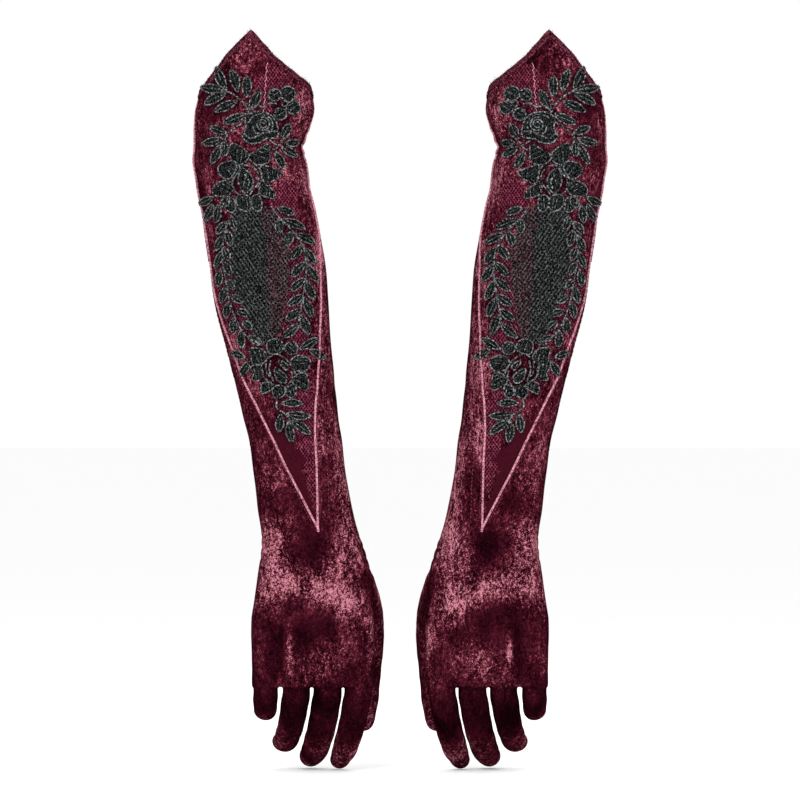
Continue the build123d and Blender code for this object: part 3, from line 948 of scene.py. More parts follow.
def make_hand_mesh():
    """The hand of the right glove: back, palm, webs and the thumb's gusset in one skin."""
    skin = welded(hand_solids())
    shape = bmesh.new()
    shape.from_mesh(skin)
    bpy.data.meshes.remove(skin)
    thumb = digit_frame("thumb")[0]
    cut_below(shape, HAND_TOP + DROP, above=True)
    cut_below(shape, digit_frame("index")[0][2])
    cut_below(shape, thumb[2], near=thumb, reach=THUMB_REACH)
    loose = [v for v in shape.verts if not v.link_faces]
    bmesh.ops.delete(shape, geom=loose, context="VERTS")
    shape.verts.ensure_lookup_table()
    points = np.array([v.co for v in shape.verts]) / MM
    edges = np.array([[e.verts[0].index, e.verts[1].index] for e in shape.edges])
    border = np.zeros(len(points), bool)
    for edge in shape.edges:
        if edge.is_boundary:
            border[edge.verts[0].index] = border[edge.verts[1].index] = True
    faces = [tuple(v.index for v in f.verts) for f in shape.faces]
    shape.free()
    # The open ends lie exactly on the sleeve's end and on each digit's first ring.
    fixed_normals = {}
    ends = [(name, digit_frame(name)[0], DIGITS[name]["radii"][0] * NECK) for name in DIGITS]
    for index in np.flatnonzero(border):
        x, y, z = points[index]
        if z > TOP_ABOVE:
            centre, wide, deep, square = [float(v) for v in section(HAND_TOP)]
            s = np.sign(x - centre) * min(1, abs(x - centre) / wide) ** (square / 2)
            c = np.sign(ARM_Y - y) * min(1, abs(y - ARM_Y) / deep) ** (square / 2)
            angle = math.atan2(s, c)
            points[index] = surface(np.array(angle), np.array(HAND_TOP))
            fixed_normals[index] = surface_normal(np.array(angle), np.array(HAND_TOP))
            continue
        name, root, radius = min(ends, key=lambda end: math.hypot(x - end[1][0], y - end[1][1]))
        out = unit(np.array([x - root[0], y - root[1], 0.0]))
        points[index] = root + out * radius
        fixed_normals[index] = out
    points = smooth_points(points, edges, border, SMOOTH_ROUNDS)
    mesh = Mesh()
    points, normals = dress_hand(points, faces, border)
    for index, normal in fixed_normals.items():
        normals[index] = normal
    mesh.add(points, faces, normals)
    return mesh


def vertex_normals(points, faces):
    """Area-weighted normals of a mesh whose faces have three to six sides."""
    normals = np.zeros_like(points)
    for size in (3, 4, 5, 6):
        chosen = np.array([f for f in faces if len(f) == size])
        if not len(chosen):
            continue
        a, b, c = points[chosen[:, 0]], points[chosen[:, size // 2]], points[chosen[:, -1]]
        first = points[chosen[:, 1]] - points[chosen[:, -1]]
        second = points[chosen[:, size // 2]] - points[chosen[:, 0]]
        normal = np.cross(second, first) if size > 3 else np.cross(b - a, c - a)
        flip = np.cross(points[chosen[:, 1]] - a, points[chosen[:, 2]] - a)
        sign = np.sign((normal * flip).sum(1, keepdims=True))
        normal = normal * np.where(sign == 0, 1, sign)
        for corner in range(size):
            np.add.at(normals, chosen[:, corner], normal)
    return unit(normals)


# Creases and swellings of the hand, seen from the front: x, level, across, along, lift.
HAND_FORMS = [
    (-28, -181, 5.0, 6.0, 1.0), (-48, -182, 5.5, 6.0, 1.2), (-69, -181, 5.5, 6.0, 1.0),
    (-90, -178, 5.0, 6.5, 0.7), (-38, -183, 2.6, 8.0, -0.9), (-58.5, -184, 2.6, 8.0, -1.0),
    (-79, -176, 2.4, 13.0, -1.3), (-74, -160, 2.2, 9.0, -0.6), (-28, -126, 3.0, 22.0, -0.8),
]


def dress_hand(points, faces, border):
    """Lift the hand's skin into its knuckles, webs and pulls."""
    normals = vertex_normals(points, faces)
    x, y, z = points[:, 0], points[:, 1] - ARM_Y, points[:, 2] - DROP
    lift = 0.28 * np.sin(x / 5.1 + 1.3 * np.sin(z / 9.0)) * np.sin(z / 12.0 + y / 9.0)
    lift += 0.16 * np.sin(x / 2.7 + z / 4.9) * np.sin(y / 4.3 + 0.6)
    back = np.clip(0.3 - y / 8.0, 0, 1)
    for centre, level, across, along, height in HAND_FORMS:
        lift += back * height * np.exp(-((x - centre) / across) ** 2 - ((z - level) / along) ** 2)
    edge = points[border]
    nearest = np.full(len(points), 1e9)
    for start in range(0, len(edge), 200):
        gap = np.linalg.norm(points[:, None] - edge[None, start:start + 200], axis=2).min(1)
        nearest = np.minimum(nearest, gap)
    calm = np.clip(nearest / 5.0, 0, 1)[:, None]
    points = points + normals * lift[:, None] * calm * calm
    return points, vertex_normals(points, faces)


# ---------------------------------------------------------------- trims

# Level where the cords go under the hem; the piping's radius, lift and sides; the radius
# and length of its end below the V's point; and the stitches beside it: length, gap, radius.
UNDER_HEM = 203.0
PIPING_RADIUS, PIPING_LIFT, PIPING_SIDES = 0.78, 0.35, 8
TAIL_RADIUS, TAIL = 0.9, 2.2
PIPING_STITCH = (1.5, 1.1, 0.22)


def edge_line(edge, top, bottom, lift, step=1.5):
    """A line down the sleeve along an edge given by its angle."""
    z = np.append(np.arange(top, bottom, -step), bottom)
    return surface(edge(z), z, lift)


def split_line(line, level):
    """A line cut in two at a level, with the cut point in both."""
    cut = int(np.argmin(np.abs(line[:, 2] - level - DROP)))
    return line[:cut + 1], line[cut:]


def dashes(line, length, gap, radius, mesh):
    """Stitches along a line: short raised threads with gaps between them."""
    along = distances(line)
    start = 0.0
    while start + length < along[-1]:
        at = np.linspace(start, start + length, 4)
        points = np.stack([np.interp(at, along, line[:, k]) for k in range(3)], axis=1)
        mesh.tube(points, np.array([0.5, 1.0, 1.0, 0.5]) * radius, 5)
        start += length + gap


def make_piping():
    """The two satin cords of the V, their point, and the row of stitches beside them."""
    upper, lower = Mesh(), Mesh()
    inner = edge_line(inner_edge, UNDER_HEM, TIP_LEVEL, PIPING_LIFT)
    outer = edge_line(outer_edge, UNDER_HEM, TIP_LEVEL, PIPING_LIFT)
    for line in (inner, outer):
        top, bottom = split_line(line, SPLIT)
        upper.tube(top, PIPING_RADIUS, PIPING_SIDES)
        lower.tube(bottom, PIPING_RADIUS, PIPING_SIDES)
    tail = edge_line(lambda z: inner_edge(np.full_like(z, TIP_LEVEL)), TIP_LEVEL, TIP_LEVEL - TAIL,
                     PIPING_LIFT, 0.6)
    lower.tube(tail, TAIL_RADIUS, PIPING_SIDES)
    stitches = Mesh()
    for offset in (0.052, 0.26):
        line = edge_line(lambda z, o=offset: inner_edge(z) + o, 20.0, TIP_LEVEL + 6.0, lift=0.25)
        dashes(line, *PIPING_STITCH, stitches)
    line = edge_line(lambda z: outer_edge(z) - 0.055, 20.0, TIP_LEVEL + 3.0, lift=0.25)
    dashes(line, *PIPING_STITCH, stitches)
    return upper, lower, stitches


FRAY_SEED = 5


def make_hem():
    """The turned edge at the sleeve's top, with its stitch line and frayed threads."""
    band, stitches, fray = Mesh(), Mesh(), Mesh()
    angle = np.linspace(-math.pi, math.pi, 181)
    top = top_edge(angle)
    # The band in section: distance from the top edge, and distance off the sleeve.
    profile = [(-5.2, 0.15), (-5.0, 0.62), (-3.6, 0.72), (-1.6, 0.80), (-0.3, 0.85), (0.35, 0.35),
               (0.45, -0.35), (0.1, -1.0), (-1.4, -1.35), (-4.6, -1.25), (-5.0, -0.9)]
    wobble = 0.25 * np.sin(11 * angle) + 0.2 * np.sin(23 * angle + 1.0)
    rows = [surface(angle, top + drop + (wobble if drop > -1 else 0), lift) for drop, lift in profile]
    band.grid(np.array(rows[::-1]))
    dashes(surface(angle, top - 3.9, 0.95), 1.6, 1.0, 0.24, stitches)
    rng = np.random.default_rng(FRAY_SEED)
    for start in np.linspace(-1.5, 1.5, 90):
        a = start + rng.normal(0, 0.01)
        length = rng.uniform(0.5, 1.5)
        base = surface(np.array(a), top_edge(np.array(a)) + 0.2, 0.2)
        way = np.array([rng.normal(0, 0.5), rng.normal(0, 0.3), 1.0])
        fray.tube(np.array([base, base + way * length * 0.5, base + way * length]), 0.10, 4)
    return band, stitches, fray


def make_side_seam():
    """The raised, fuzzy seam down the outer side of the arm."""
    upper, lower = Mesh(), Mesh()

    def seam(z):
        """The seam's angle: beside the outer cord above, on the arm's side below."""
        return np.where(z > 93, outer_edge(z) - 0.10, -1.75 - (93 - z) * 0.0006)

    z = np.append(np.arange(UNDER_HEM, LOWEST, -1.2), LOWEST)
    rough = 0.30 * np.sin(z * 1.9) + 0.25 * np.sin(z * 3.7 + 1.0)
    line = surface(seam(z) + 0.006 * np.sin(z * 2.3), z, 0.15)
    top, bottom = split_line(line, SPLIT)
    upper.tube(top, 1.05 + 0.3 * rough[:len(top)], 8)
    lower.tube(bottom, 0.72 + 0.15 * rough[len(top) - 1:], 8)
    return upper, lower


def make_run():
    """A pale drawn thread down the middle of the cuff's net."""
    mesh = Mesh()
    z = np.arange(224.0, 187.0, -1.2)
    x = -88.0 - (224.0 - z) * 0.06 + 0.5 * np.sin(z * 1.3) + 0.3 * np.sin(z * 2.9)
    mesh.tube(surface(angle_of(x, z), z, 0.15), 0.32, 5)
    return mesh


# ---------------------------------------------------------------- lace
# Everything here is drawn as seen from the front, as x and level in millimetres, and laid
# on the sleeve afterwards.

def lay(points, lift):
    """Put points drawn from the front on the sleeve."""
    points = np.asarray(points, float)
    return surface(angle_of(points[:, 0], points[:, 1]), points[:, 1], np.asarray(lift, float) + 0.15)


def even(points, step, closed):
    """A smooth line through points, evenly spaced."""
    points = np.array(points, float)
    if closed:
        points = np.concatenate([points[-3:], points, points[:3]])
    along = distances(points)
    start, end = (along[3], along[-3]) if closed else (0.0, along[-1])
    count = max(4, int((end - start) / step))
    at = np.linspace(start, end, count, endpoint=not closed)
    return np.stack([smooth_table(along, points[:, k], at) for k in range(2)], axis=1)


def knotted(mesh, points, radius, lift, step=0.62, closed=False, smooth=True, sides=6):
    """A corded thread with knots along it."""
    line = even(points, step, closed) if smooth else np.asarray(points, float)
    count = len(line)
    phase = 2.1 * np.arange(count) + 3.0 * math.sin(line[0, 0] * 7.0)
    size = radius * (1.0 + 0.17 * np.sin(phase) + 0.10 * np.sin(2.7 * phase))
    mesh.tube(lay(line, lift + 0.10 * np.sin(1.3 * phase)), size, sides, closed)


LEAF_STEPS = 13
LEAF_CORD = 0.50


def leaf_sides(base, tip, width):
    """The two sides and the spine of a rounded leaf from its base to its tip."""
    base, tip = np.array(base, float), np.array(tip, float)
    way = tip - base
    across = unit(np.array([-way[1], way[0]]))
    t = (1 - np.cos(np.linspace(0, math.pi, LEAF_STEPS))) / 2
    half = width / 2 * np.sin(math.pi * t ** 1.12) ** 0.72
    bend = 0.035 * np.linalg.norm(way) * math.sin(base[0] * 3.1 + base[1]) * np.sin(math.pi * t)
    spine = base + t[:, None] * way + bend[:, None] * across
    return spine + half[:, None] * across, spine - half[:, None] * across, spine


def draw_leaf(cords, fills, base, tip, width, lift):
    """A leaf of satin stitch with a corded edge and a vein."""
    left, right, spine = leaf_sides(base, tip, width)
    knotted(cords, np.concatenate([left, right[::-1][1:-1]]), LEAF_CORD, lift + 0.35, 0.55, True)
    share = np.linspace(0, 1, 6)
    crown = lift + 0.25 * np.sin(math.pi * share)
    rows = [lay(a + share[:, None] * (b - a), crown) for a, b in zip(left, right)]
    fills.grid(np.array(rows)[:, ::-1])
    knotted(cords, spine[1:-2], LEAF_CORD * 0.52, lift + 0.40, 0.5, sides=5)


def draw_blob(cords, fills, outline, lift, cord=0.50, ribs=3):
    """A petal with a corded edge of any outline, and stitched ribs across it."""
    edge = even(outline, 0.6, True)
    middle = edge.mean(axis=0)
    knotted(cords, edge, cord, lift + 0.40, closed=True, smooth=False)
    grid = np.array([lay(middle + (edge - middle) * share, lift + 0.5 * (1 - share ** 2))
                     for share in (0.03, 0.4, 0.7, 1.0)])
    area = np.sum(edge[:, 0] * np.roll(edge[:, 1], -1) - edge[:, 1] * np.roll(edge[:, 0], -1))
    fills.grid(grid if area > 0 else grid[:, ::-1], closed=True)
    count = len(edge)
    for number in range(ribs):
        start = int(count * (0.10 + 0.25 * number / max(1, ribs)))
        end = int(count * (0.62 - 0.20 * number / max(1, ribs)))
        a, b = edge[start % count], edge[end % count]
        share = np.linspace(0.14, 0.84, 8)[:, None]
        knotted(cords, a + (b - a) * share, cord * 0.44, lift + 0.62, sides=5)


def draw_spray(cords, fills, stems, leaves, radius, lift, leaf_lifts):
    """Stems with leaves, which lie at the lifts in turn."""
    for stem in stems:
        knotted(cords, stem, radius, lift)
    for number, (base, tip, width) in enumerate(leaves):
        draw_leaf(cords, fills, base, tip, width, leaf_lifts[number % len(leaf_lifts)])


def circle(centre, radius, count=16):
    """Points round a circle."""
    turn = full_turn(count)
    return np.stack([centre[0] + radius * np.cos(turn), centre[1] + radius * np.sin(turn)], axis=1)


# The lace's parts. A stem, outline or arc is a list of x and level. A leaf is its base,
# its tip and its width, and a small petal its centre and radius.
CUFF_STEMS = [
    [(-124.0, 208.0), (-120.9, 207.0), (-114.8, 205.5), (-107.9, 201.7), (-102.5, 196.3), (-99.4, 190.2)],
    [(-98.7, 193.2), (-94.9, 195.5), (-90.3, 194.8), (-86.4, 197.1), (-81.8, 197.1)],
]
CUFF_LEAVES = [
    ((-114.4, 205.9), (-121.6, 221.9), 5.8), ((-107.1, 204.7), (-111.3, 219.6), 5.8),
    ((-101.7, 200.9), (-101.4, 215.4), 5.8), ((-99.4, 192.5), (-92.6, 205.9), 5.8),
    ((-114.8, 206.2), (-131.6, 209.3), 5.8), ((-114.8, 203.9), (-128.5, 197.1), 5.8),
    ((-107.5, 198.6), (-122.0, 192.1), 5.8), ((-101.7, 190.2), (-116.3, 184.1), 5.8),
]
SMALL_PETALS = [((-83.4, 202.8), 3.9), ((-75.0, 203.9), 4.7), ((-71.5, 194.8), 4.3), ((-79.6, 190.2), 3.9)]
SMALL_HEART = (-77.1, 197.1)
ROSE_OUTLINE = [
    (-101.7, 187.9), (-97.2, 190.9), (-90.3, 191.3), (-84.1, 187.9), (-81.1, 180.2), (-81.8, 174.9),
    (-88.0, 174.1), (-94.1, 171.0), (-100.2, 171.0), (-104.0, 175.6), (-101.7, 180.2),
]
ROSE_ARCS = [
    [(-100.2, 184.1), (-97.5, 187.9), (-91.0, 189.8), (-86.1, 187.1), (-84.5, 181.8), (-87.2, 177.2)],
    [(-103.3, 177.5), (-98.7, 174.1), (-92.6, 176.4), (-86.4, 178.7), (-81.5, 178.7)],
    [(-97.2, 181.8), (-95.6, 177.9), (-91.0, 177.5), (-87.2, 180.2)],
]
ROSE_HEART, ROSE_TURNS = (-91.0, 183.3), 2.3
ELBOW_STEMS = [
    [(-101.7, 184.8), (-107.9, 181.8), (-113.2, 177.2), (-115.5, 172.6)],
    [(-84.9, 166.5), (-81.8, 168.0), (-78.8, 172.6), (-74.2, 176.4)],
    [(-88.0, 175.0), (-84.5, 171.5), (-81.0, 169.5)],
]
ELBOW_LEAVES = [
    ((-114.0, 177.2), (-125.1, 181.8), 5.2), ((-116.3, 174.1), (-130.4, 171.0), 5.2),
    ((-117.0, 171.0), (-124.3, 157.3), 5.2), ((-115.1, 172.6), (-115.5, 161.9), 5.2),
    ((-78.8, 174.1), (-73.8, 184.1), 5.0), ((-76.5, 171.0), (-67.2, 171.8), 4.6),
    ((-78.8, 168.8), (-68.5, 162.6), 5.0), ((-83.0, 165.7), (-77.3, 154.2), 5.0),
]
FLOWER_PETALS = [
    [(-110.5, 170.7), (-105.2, 168.4), (-100.2, 163.4), (-101.4, 158.8), (-107.1, 156.5), (-111.7, 161.9)],
    [(-100.2, 161.1), (-94.1, 166.5), (-87.2, 169.9), (-86.4, 164.2), (-87.2, 158.8), (-91.8, 156.5),
     (-97.2, 158.0)],
    [(-91.8, 156.1), (-86.4, 155.0), (-78.8, 151.2), (-83.4, 146.6), (-89.5, 144.3), (-91.8, 150.4)],
    [(-91.0, 143.5), (-85.7, 141.2), (-83.0, 134.7), (-88.0, 135.1), (-93.3, 138.1)],
    [(-97.2, 135.8), (-94.1, 136.6), (-91.4, 132.0), (-92.2, 126.7), (-94.9, 125.5), (-97.9, 129.0)],
    [(-119.3, 155.4), (-114.8, 158.4), (-109.4, 158.8), (-105.6, 155.0), (-107.9, 149.6), (-114.0, 147.3),
     (-117.8, 149.6)],
    [(-123.2, 140.4), (-118.6, 145.4), (-112.5, 145.8), (-109.4, 142.0), (-112.5, 137.0), (-117.8, 135.8),
     (-122.4, 137.4)],
    [(-115.5, 135.1), (-110.9, 135.1), (-107.9, 129.0), (-110.2, 125.1), (-114.8, 128.2)],
    [(-107.1, 135.8), (-101.7, 136.6), (-97.9, 132.8), (-100.2, 125.9), (-105.6, 127.4)],
]
FLOWER_LOOPS = [
    [(-104.0, 154.2), (-100.2, 151.9), (-97.2, 146.6), (-97.9, 141.2), (-101.7, 137.8), (-105.6, 142.7),
     (-106.3, 148.1)],
]
FLOWER_ARCS = [
    [(-105.6, 155.0), (-101.7, 156.1), (-97.2, 155.0), (-94.1, 150.4), (-93.7, 145.0), (-97.2, 139.7),
     (-99.4, 136.6)],
    [(-106.0, 152.3), (-109.8, 145.8), (-109.0, 139.7), (-105.6, 136.6)],
    [(-102.5, 150.4), (-99.4, 145.0), (-100.6, 140.8)],
    [(-107.1, 156.5), (-108.6, 151.9), (-111.7, 146.6)],
    [(-97.2, 158.0), (-93.3, 154.2), (-91.8, 148.1), (-94.1, 141.2)],
]
LOW_PETALS = [
    [(-98.9, 34.6), (-91.4, 34.9), (-87.3, 29.2), (-90.7, 25.1), (-96.9, 25.8), (-97.6, 30.5)],
    [(-98.2, 22.4), (-92.8, 24.4), (-90.1, 19.0), (-92.8, 14.2), (-97.2, 14.9), (-96.2, 18.3)],
    [(-90.7, 12.2), (-86.0, 12.8), (-82.9, 9.8), (-86.7, 6.7), (-90.7, 5.4)],
    [(-83.9, 9.4), (-79.2, 10.8), (-75.1, 8.8), (-77.1, 4.0), (-81.6, 2.0)],
    [(-75.8, 8.8), (-69.7, 10.8), (-69.0, 6.7), (-71.7, 2.6), (-75.8, 5.4)],
    [(-71.0, 12.2), (-68.3, 18.3), (-64.2, 19.0), (-61.5, 12.2), (-62.2, 7.7), (-66.9, 9.4)],
    [(-71.0, 21.7), (-72.4, 27.1), (-68.3, 30.5), (-60.1, 27.1), (-63.5, 20.3), (-67.6, 20.3)],
    [(-76.5, 36.0), (-74.4, 39.0), (-70.3, 39.4), (-68.0, 36.0), (-69.7, 31.9), (-73.7, 31.5)],
    [(-87.3, 39.4), (-81.9, 41.4), (-77.8, 38.7), (-77.8, 33.9), (-86.0, 31.9)],
]
LOW_LOOPS = [
    [(-82.2, 22.4), (-81.9, 16.2), (-79.2, 12.8), (-76.1, 12.5), (-75.1, 16.2), (-78.5, 20.3)],
    [(-79.9, 27.1), (-77.1, 26.4), (-74.1, 22.4), (-75.1, 21.0), (-78.5, 23.7)],
]
LOW_ARCS = [
    [(-87.3, 28.5), (-81.9, 31.5), (-76.5, 28.8), (-71.0, 21.7), (-69.3, 16.2)],
    [(-90.7, 24.4), (-89.4, 16.2), (-84.6, 12.5), (-81.9, 10.1)],
    [(-85.0, 27.1), (-86.0, 21.7), (-83.3, 13.5)],
    [(-88.0, 27.1), (-87.7, 20.3), (-85.3, 15.6)],
    [(-72.4, 20.3), (-71.4, 16.2), (-73.7, 11.5)],
]
FOREARM_STEMS = [
    [(-85.6, 129.4), (-80.1, 121.6), (-71.6, 113.1), (-65.5, 103.9), (-62.8, 92.7), (-62.8, 81.8),
     (-64.5, 70.9), (-66.5, 60.0), (-67.2, 51.9), (-61.1, 43.7)],
    [(-110.7, 124.0), (-115.5, 111.7), (-116.5, 100.2), (-116.5, 90.7), (-114.8, 81.1), (-112.8, 68.9),
     (-109.4, 58.0), (-104.6, 47.8), (-100.5, 43.0), (-92.0, 38.0)],
    [(-81.2, 1.3), (-81.6, -3.5), (-75.8, -8.3), (-72.4, -12.0)],
]
FOREARM_LEAVES = [
    ((-79.8, 121.6), (-80.1, 111.1), 5.2), ((-71.6, 113.1), (-75.1, 102.9), 5.2),
    ((-65.9, 103.9), (-72.0, 94.1), 5.2), ((-63.1, 92.7), (-72.0, 82.5), 5.2),
    ((-63.1, 81.8), (-73.0, 73.0), 5.2), ((-64.5, 70.9), (-74.7, 63.5), 5.2),
    ((-66.5, 61.4), (-75.7, 53.3), 5.2), ((-67.2, 51.9), (-77.7, 42.3), 5.2),
    ((-81.5, 128.1), (-70.7, 124.0), 4.6), ((-78.8, 120.6), (-63.8, 114.5), 5.2),
    ((-69.9, 111.1), (-57.3, 104.9), 5.2), ((-64.5, 102.2), (-57.0, 91.3), 5.2),
    ((-62.5, 91.3), (-55.3, 79.8), 5.2), ((-63.1, 80.5), (-57.7, 67.5), 5.2),
    ((-64.5, 68.9), (-59.1, 55.6), 5.2), ((-66.5, 58.0), (-61.1, 44.4), 5.2),
    ((-110.7, 122.6), (-108.0, 113.1), 4.8), ((-114.1, 119.2), (-120.3, 111.1), 4.8),
    ((-113.8, 113.8), (-110.7, 102.9), 4.8), ((-116.2, 110.4), (-122.0, 100.2), 4.8),
    ((-116.2, 102.9), (-112.1, 93.4), 4.8), ((-116.5, 100.2), (-122.3, 88.6), 4.8),
    ((-116.2, 92.7), (-111.1, 83.9), 4.8), ((-118.2, 87.9), (-119.6, 76.4), 4.8),
    ((-114.8, 81.1), (-109.4, 74.3), 4.8), ((-115.5, 76.4), (-117.5, 65.5), 4.8),
    ((-111.4, 70.3), (-103.3, 65.5), 4.8), ((-112.8, 66.2), (-114.1, 55.3), 4.8),
    ((-108.0, 60.1), (-99.2, 57.3), 4.8), ((-109.4, 55.3), (-108.7, 45.1), 4.8),
    ((-103.9, 53.3), (-97.5, 47.8), 4.8), ((-104.6, 47.1), (-103.6, 35.5), 4.8),
    ((-100.5, 43.7), (-91.0, 37.6), 4.8),
    ((-122.4, 135.5), (-133.1, 131.3), 5.2), ((-123.0, 131.3), (-128.5, 119.8), 5.2),
    ((-119.0, 130.5), (-120.9, 118.6), 5.2), ((-112.5, 135.8), (-117.0, 129.0), 5.2),
    ((-66.9, 34.6), (-55.0, 42.1), 5.0), ((-60.8, 34.6), (-49.9, 28.5), 5.0),
    ((-101.6, 29.2), (-111.8, 32.6), 5.0), ((-98.9, 27.1), (-105.0, 16.9), 5.0),
    ((-78.5, -1.1), (-64.9, -1.1), 4.8), ((-75.1, -7.9), (-59.8, -9.6), 5.2),
    ((-72.4, -12.3), (-59.8, -21.5), 5.2), ((-73.7, -12.7), (-71.4, -27.0), 5.2),
    ((-78.5, -8.3), (-79.9, -20.2), 5.2),
]
# The oval net's edges: level, then x at its left and its right.
NET_EDGES = [
    (134.0, -106.0, -97.0), (127.7, -110.0, -86.0), (118.0, -110.0, -79.5), (111.0, -110.5, -75.5),
    (97.7, -112.0, -73.0), (84.3, -111.5, -73.0), (74.3, -109.5, -74.0), (64.3, -105.0, -75.5),
    (56.3, -101.0, -76.5), (46.0, -97.0, -79.0), (38.0, -92.0, -80.0),
]
# The net's two families of threads: slant in degrees, spacing, radius and lift.
NET_THREADS = ((-57.0, 2.15, 0.47, 0.75), (-140.0, 2.35, 0.34, 0.50))
# Threads lie to both sides of the net's middle, each as long as twice the reach before it
# is cut at the oval's edge. The backing covers this share of the oval's width.
NET_MIDDLE, NET_COUNT, NET_REACH = np.array([-92.0, 86.0]), 40, 75.0
BACKING_SHARE, BACKING_COLUMNS = 0.62, 14


def net_sides(z):
    """Left and right of the oval net at a level."""
    return [column_at(NET_EDGES, column, z) for column in (1, 2)]


def draw_net(net, fills):
    """Two families of slanting threads across the oval, over a backing on its outer side."""
    top, bottom = NET_EDGES[0][0], NET_EDGES[-1][0]
    for degrees, pitch, radius, lift in NET_THREADS:
        way = np.array([math.cos(math.radians(degrees)), math.sin(math.radians(degrees))])
        across = np.array([-way[1], way[0]])
        for number in np.arange(-NET_COUNT, NET_COUNT + 1):
            start = NET_MIDDLE + across * number * pitch
            line = start + np.arange(-NET_REACH, NET_REACH, 0.75)[:, None] * way
            left, right = net_sides(line[:, 1])
            inside = (line[:, 1] < top) & (line[:, 1] > bottom) & (line[:, 0] > left) & (line[:, 0] < right)
            places = np.flatnonzero(inside)
            if len(places) < 4:
                continue
            run = line[places[0]:places[-1] + 1]
            knotted(net, run, radius, lift, smooth=False, sides=5)
    z = np.arange(top, bottom, -1.5)
    left, right = net_sides(z)
    share = np.linspace(0, BACKING_SHARE, BACKING_COLUMNS)
    rows = [lay(np.stack([a + (b - a) * share, np.full(BACKING_COLUMNS, level)], axis=1), 0.12)
            for a, b, level in zip(left, right, z)]
    fills.grid(np.array(rows))


FLOWER_LIFT = 0.75


def draw_flower(cords, fills, petals, loops, arcs):
    """A large flower: petals with corded edges, and the cords of its folded heart."""
    for number, outline in enumerate(petals):
        draw_blob(cords, fills, outline, FLOWER_LIFT + 0.12 * (number % 3))
    for outline in loops:
        draw_blob(cords, fills, outline, FLOWER_LIFT + 0.65, 0.55, 1)
    for line in arcs:
        knotted(cords, line, 0.58, FLOWER_LIFT + 1.0)


def make_cuff_lace():
    """The leaves, the small flower and the rose on the cuff."""
    cords, fills = Mesh(), Mesh()
    draw_spray(cords, fills, CUFF_STEMS, CUFF_LEAVES, 0.66, 0.55, (0.5,))
    for centre, radius in SMALL_PETALS:
        draw_blob(cords, fills, circle(centre, radius), 0.7, 0.6, 2)
    knotted(cords, circle(SMALL_HEART, 1.7, 9), 0.6, 1.5, closed=True)
    draw_blob(cords, fills, ROSE_OUTLINE, 0.75, 0.6, 0)
    for line in ROSE_ARCS:
        knotted(cords, line, 0.62, 1.5)
    turns = np.linspace(0, ROSE_TURNS * 2 * math.pi, 40)
    size = 1.0 + 3.9 * turns / turns[-1]
    coil = np.stack([ROSE_HEART[0] + size * np.cos(turns), ROSE_HEART[1] + size * np.sin(turns)], axis=1)
    knotted(cords, coil, 0.58, 1.7, smooth=False)
    return cords, fills


def make_elbow_lace():
    """The leaves that cross the elbow."""
    cords, fills = Mesh(), Mesh()
    draw_spray(cords, fills, ELBOW_STEMS, ELBOW_LEAVES, 0.6, 0.55, (0.5,))
    return cords, fills


def make_forearm_lace():
    """The oval net, the garlands beside it and the two large flowers."""
    cords, fills, net = Mesh(), Mesh(), Mesh()
    draw_net(net, fills)
    draw_spray(cords, fills, FOREARM_STEMS, FOREARM_LEAVES, 0.6, 0.7, (0.62, 0.62 + 0.12))
    draw_flower(cords, fills, FLOWER_PETALS, FLOWER_LOOPS, FLOWER_ARCS)
    draw_flower(cords, fills, LOW_PETALS, LOW_LOOPS, LOW_ARCS)
    return cords, fills, net


# ---------------------------------------------------------------- putting it together


def across_elbow(piece, side):
    """Bakes the placement of a piece between the cuff and the forearm into its mesh."""
    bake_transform(piece)


def across_wrist(piece, side):
    """Bakes the placement of a piece between the forearm and the hand into its mesh."""
    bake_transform(piece)


HAND_MESH = make_hand_mesh()
HEM_MESH, HEM_STITCHES, HEM_FRAY = make_hem()
PIPING_UPPER, PIPING_LOWER, TOPSTITCH = make_piping()
SEAM_UPPER, SEAM_LOWER = make_side_seam()
RUN = make_run()
CUFF_LACE, ELBOW_LACE, FOREARM_LACE = make_cuff_lace(), make_elbow_lace(), make_forearm_lace()


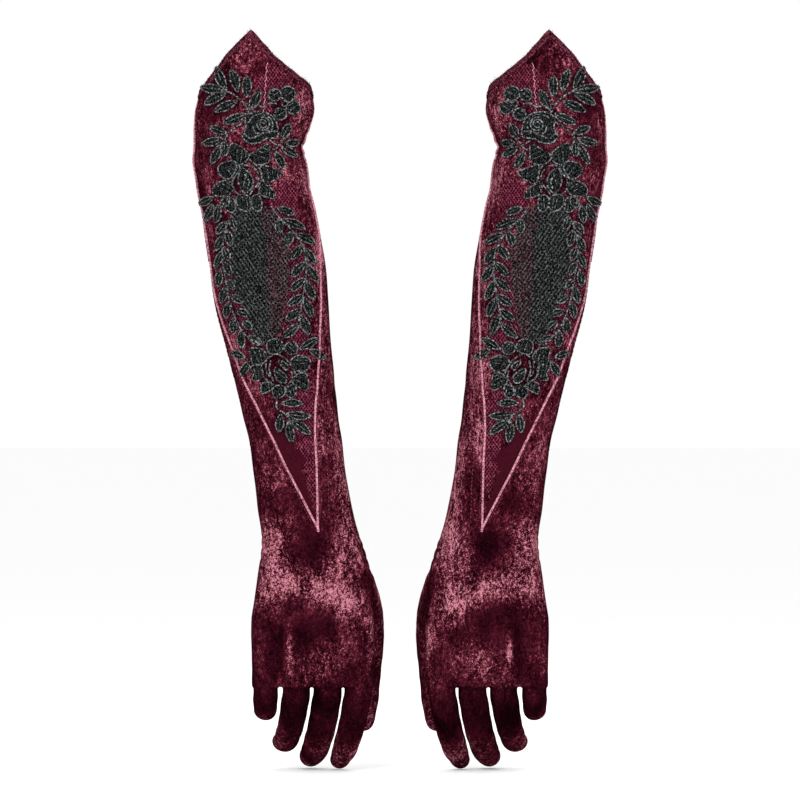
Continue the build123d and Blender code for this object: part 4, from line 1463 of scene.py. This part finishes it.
def make_glove(side):
    """Every visible piece of one glove, some of them on their CAD bodies."""
    cuff, forearm, hand = side + "_cuff", side + "_forearm", side + "_hand"
    sleeve = make_sleeve(side)
    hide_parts(side + "_cuff_velvet", side + "_elbow_fold")
    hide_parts(side + "_cuff_inset")
    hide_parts(side + "_forearm_velvet", side + "_wrist_fold")
    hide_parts(side + "_forearm_inset")
    for name, piece in sleeve.items():
        (across_elbow if name.endswith("upper") else across_wrist)(piece, side)

    skin = add_cloth(side + "_hand_cloth", side, HAND_MESH, VELVET)
    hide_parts(side + "_hand_back", side + "_hand_palm", side + "_thumb_gusset",
                side + "_root_folds")
    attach(skin, hand)
    for name in DIGITS:
        make_digit(side, name)

    hem = build(side + "_hem_band", HEM_MESH, side, SEAM)
    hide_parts(side + "_hem")
    for name, mesh, material in (("_hem_stitches", HEM_STITCHES, STITCH), ("_hem_fray", HEM_FRAY, SEAM),
                                 ("_run", RUN, PIPING)):
        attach(build(side + name, mesh, side, material), cuff)
    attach(hem, cuff)

    cord = build(side + "_piping_upper", PIPING_UPPER, side, PIPING)
    low_cord = build(side + "_piping_lower", PIPING_LOWER, side, PIPING)
    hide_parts(side + "_piping")
    across_elbow(cord, side)
    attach(low_cord, forearm)
    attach(build(side + "_topstitch", TOPSTITCH, side, STITCH), forearm)
    across_elbow(build(side + "_seam_upper", SEAM_UPPER, side, SEAM), side)
    across_wrist(build(side + "_seam_lower", SEAM_LOWER, side, SEAM), side)

    laces = (("cuff", CUFF_LACE), ("elbow", ELBOW_LACE), ("forearm", FOREARM_LACE))
    for part, meshes in laces:
        kinds = (("cords", CORD), ("stitches", FILL), ("net", NET_CORD))
        for mesh, (kind, material) in zip(meshes, kinds):
            piece = build(f"{side}_lace_{part}_{kind}", mesh, side, material)
            if kind == "cords" and part != "elbow":
                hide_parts(side + ("_lace_spray" if part == "cuff" else "_lace_medallion"))
            if part == "forearm":
                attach(piece, forearm)
            else:
                across_elbow(piece, side)


for SIDE in ("right", "left"):
    make_glove(SIDE)


# ---------------------------------------------------------------- floor, light and camera

def floor_material():
    """A plain pale floor."""
    material, _, shader = node_tree("studio_floor")
    shader.inputs["Base Color"].default_value = (0.97, 0.97, 0.97, 1.0)
    shader.inputs["Roughness"].default_value = 1.0
    return material


# Metres from here on.
FLOOR_SIZE, FLOOR_GAP = 60.0, 0.0005
low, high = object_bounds()
bpy.ops.mesh.primitive_plane_add(size=FLOOR_SIZE, location=(0, 0, low.z - FLOOR_GAP))
floor = bpy.context.object
floor.name = "floor"
floor.data.materials.append(floor_material())
bpy.context.scene.view_settings.view_transform = "Standard"

world = bpy.data.worlds.new("studio")
bpy.context.scene.world = world
world.use_nodes = True
world.node_tree.nodes["Background"].inputs["Color"].default_value = (1.0, 1.0, 1.0, 1.0)
world.node_tree.nodes["Background"].inputs["Strength"].default_value = 1.0


def area_light(name, place, size, power):
    """A soft white light that faces the gloves' middle. Power is in watts."""
    data = bpy.data.lights.new(name, "AREA")
    data.shape = "RECTANGLE"
    data.size, data.size_y = size
    data.energy = power
    lamp = new_object(name, data)
    lamp.location = place
    lamp.rotation_euler = (-Vector(place)).to_track_quat("-Z", "Y").to_euler()


area_light("key", (-0.55, -1.5, 0.75), (0.8, 1.0), 20)
area_light("fill", (1.0, -1.1, 0.25), (0.8, 1.2), 11)
area_light("back", (0.2, 1.3, 0.9), (1.2, 0.8), 8)

CAMERA_DISTANCE, CAMERA_HEIGHT = 4.44, 0.001
camera_data = bpy.data.cameras.new("camera")
camera_data.lens = 300
camera_data.sensor_width = 36
camera = new_object("camera", camera_data)
camera.location = (0, ARM_Y * MM - CAMERA_DISTANCE, CAMERA_HEIGHT)
camera.rotation_euler = (math.radians(90), 0, 0)
bpy.context.scene.camera = camera
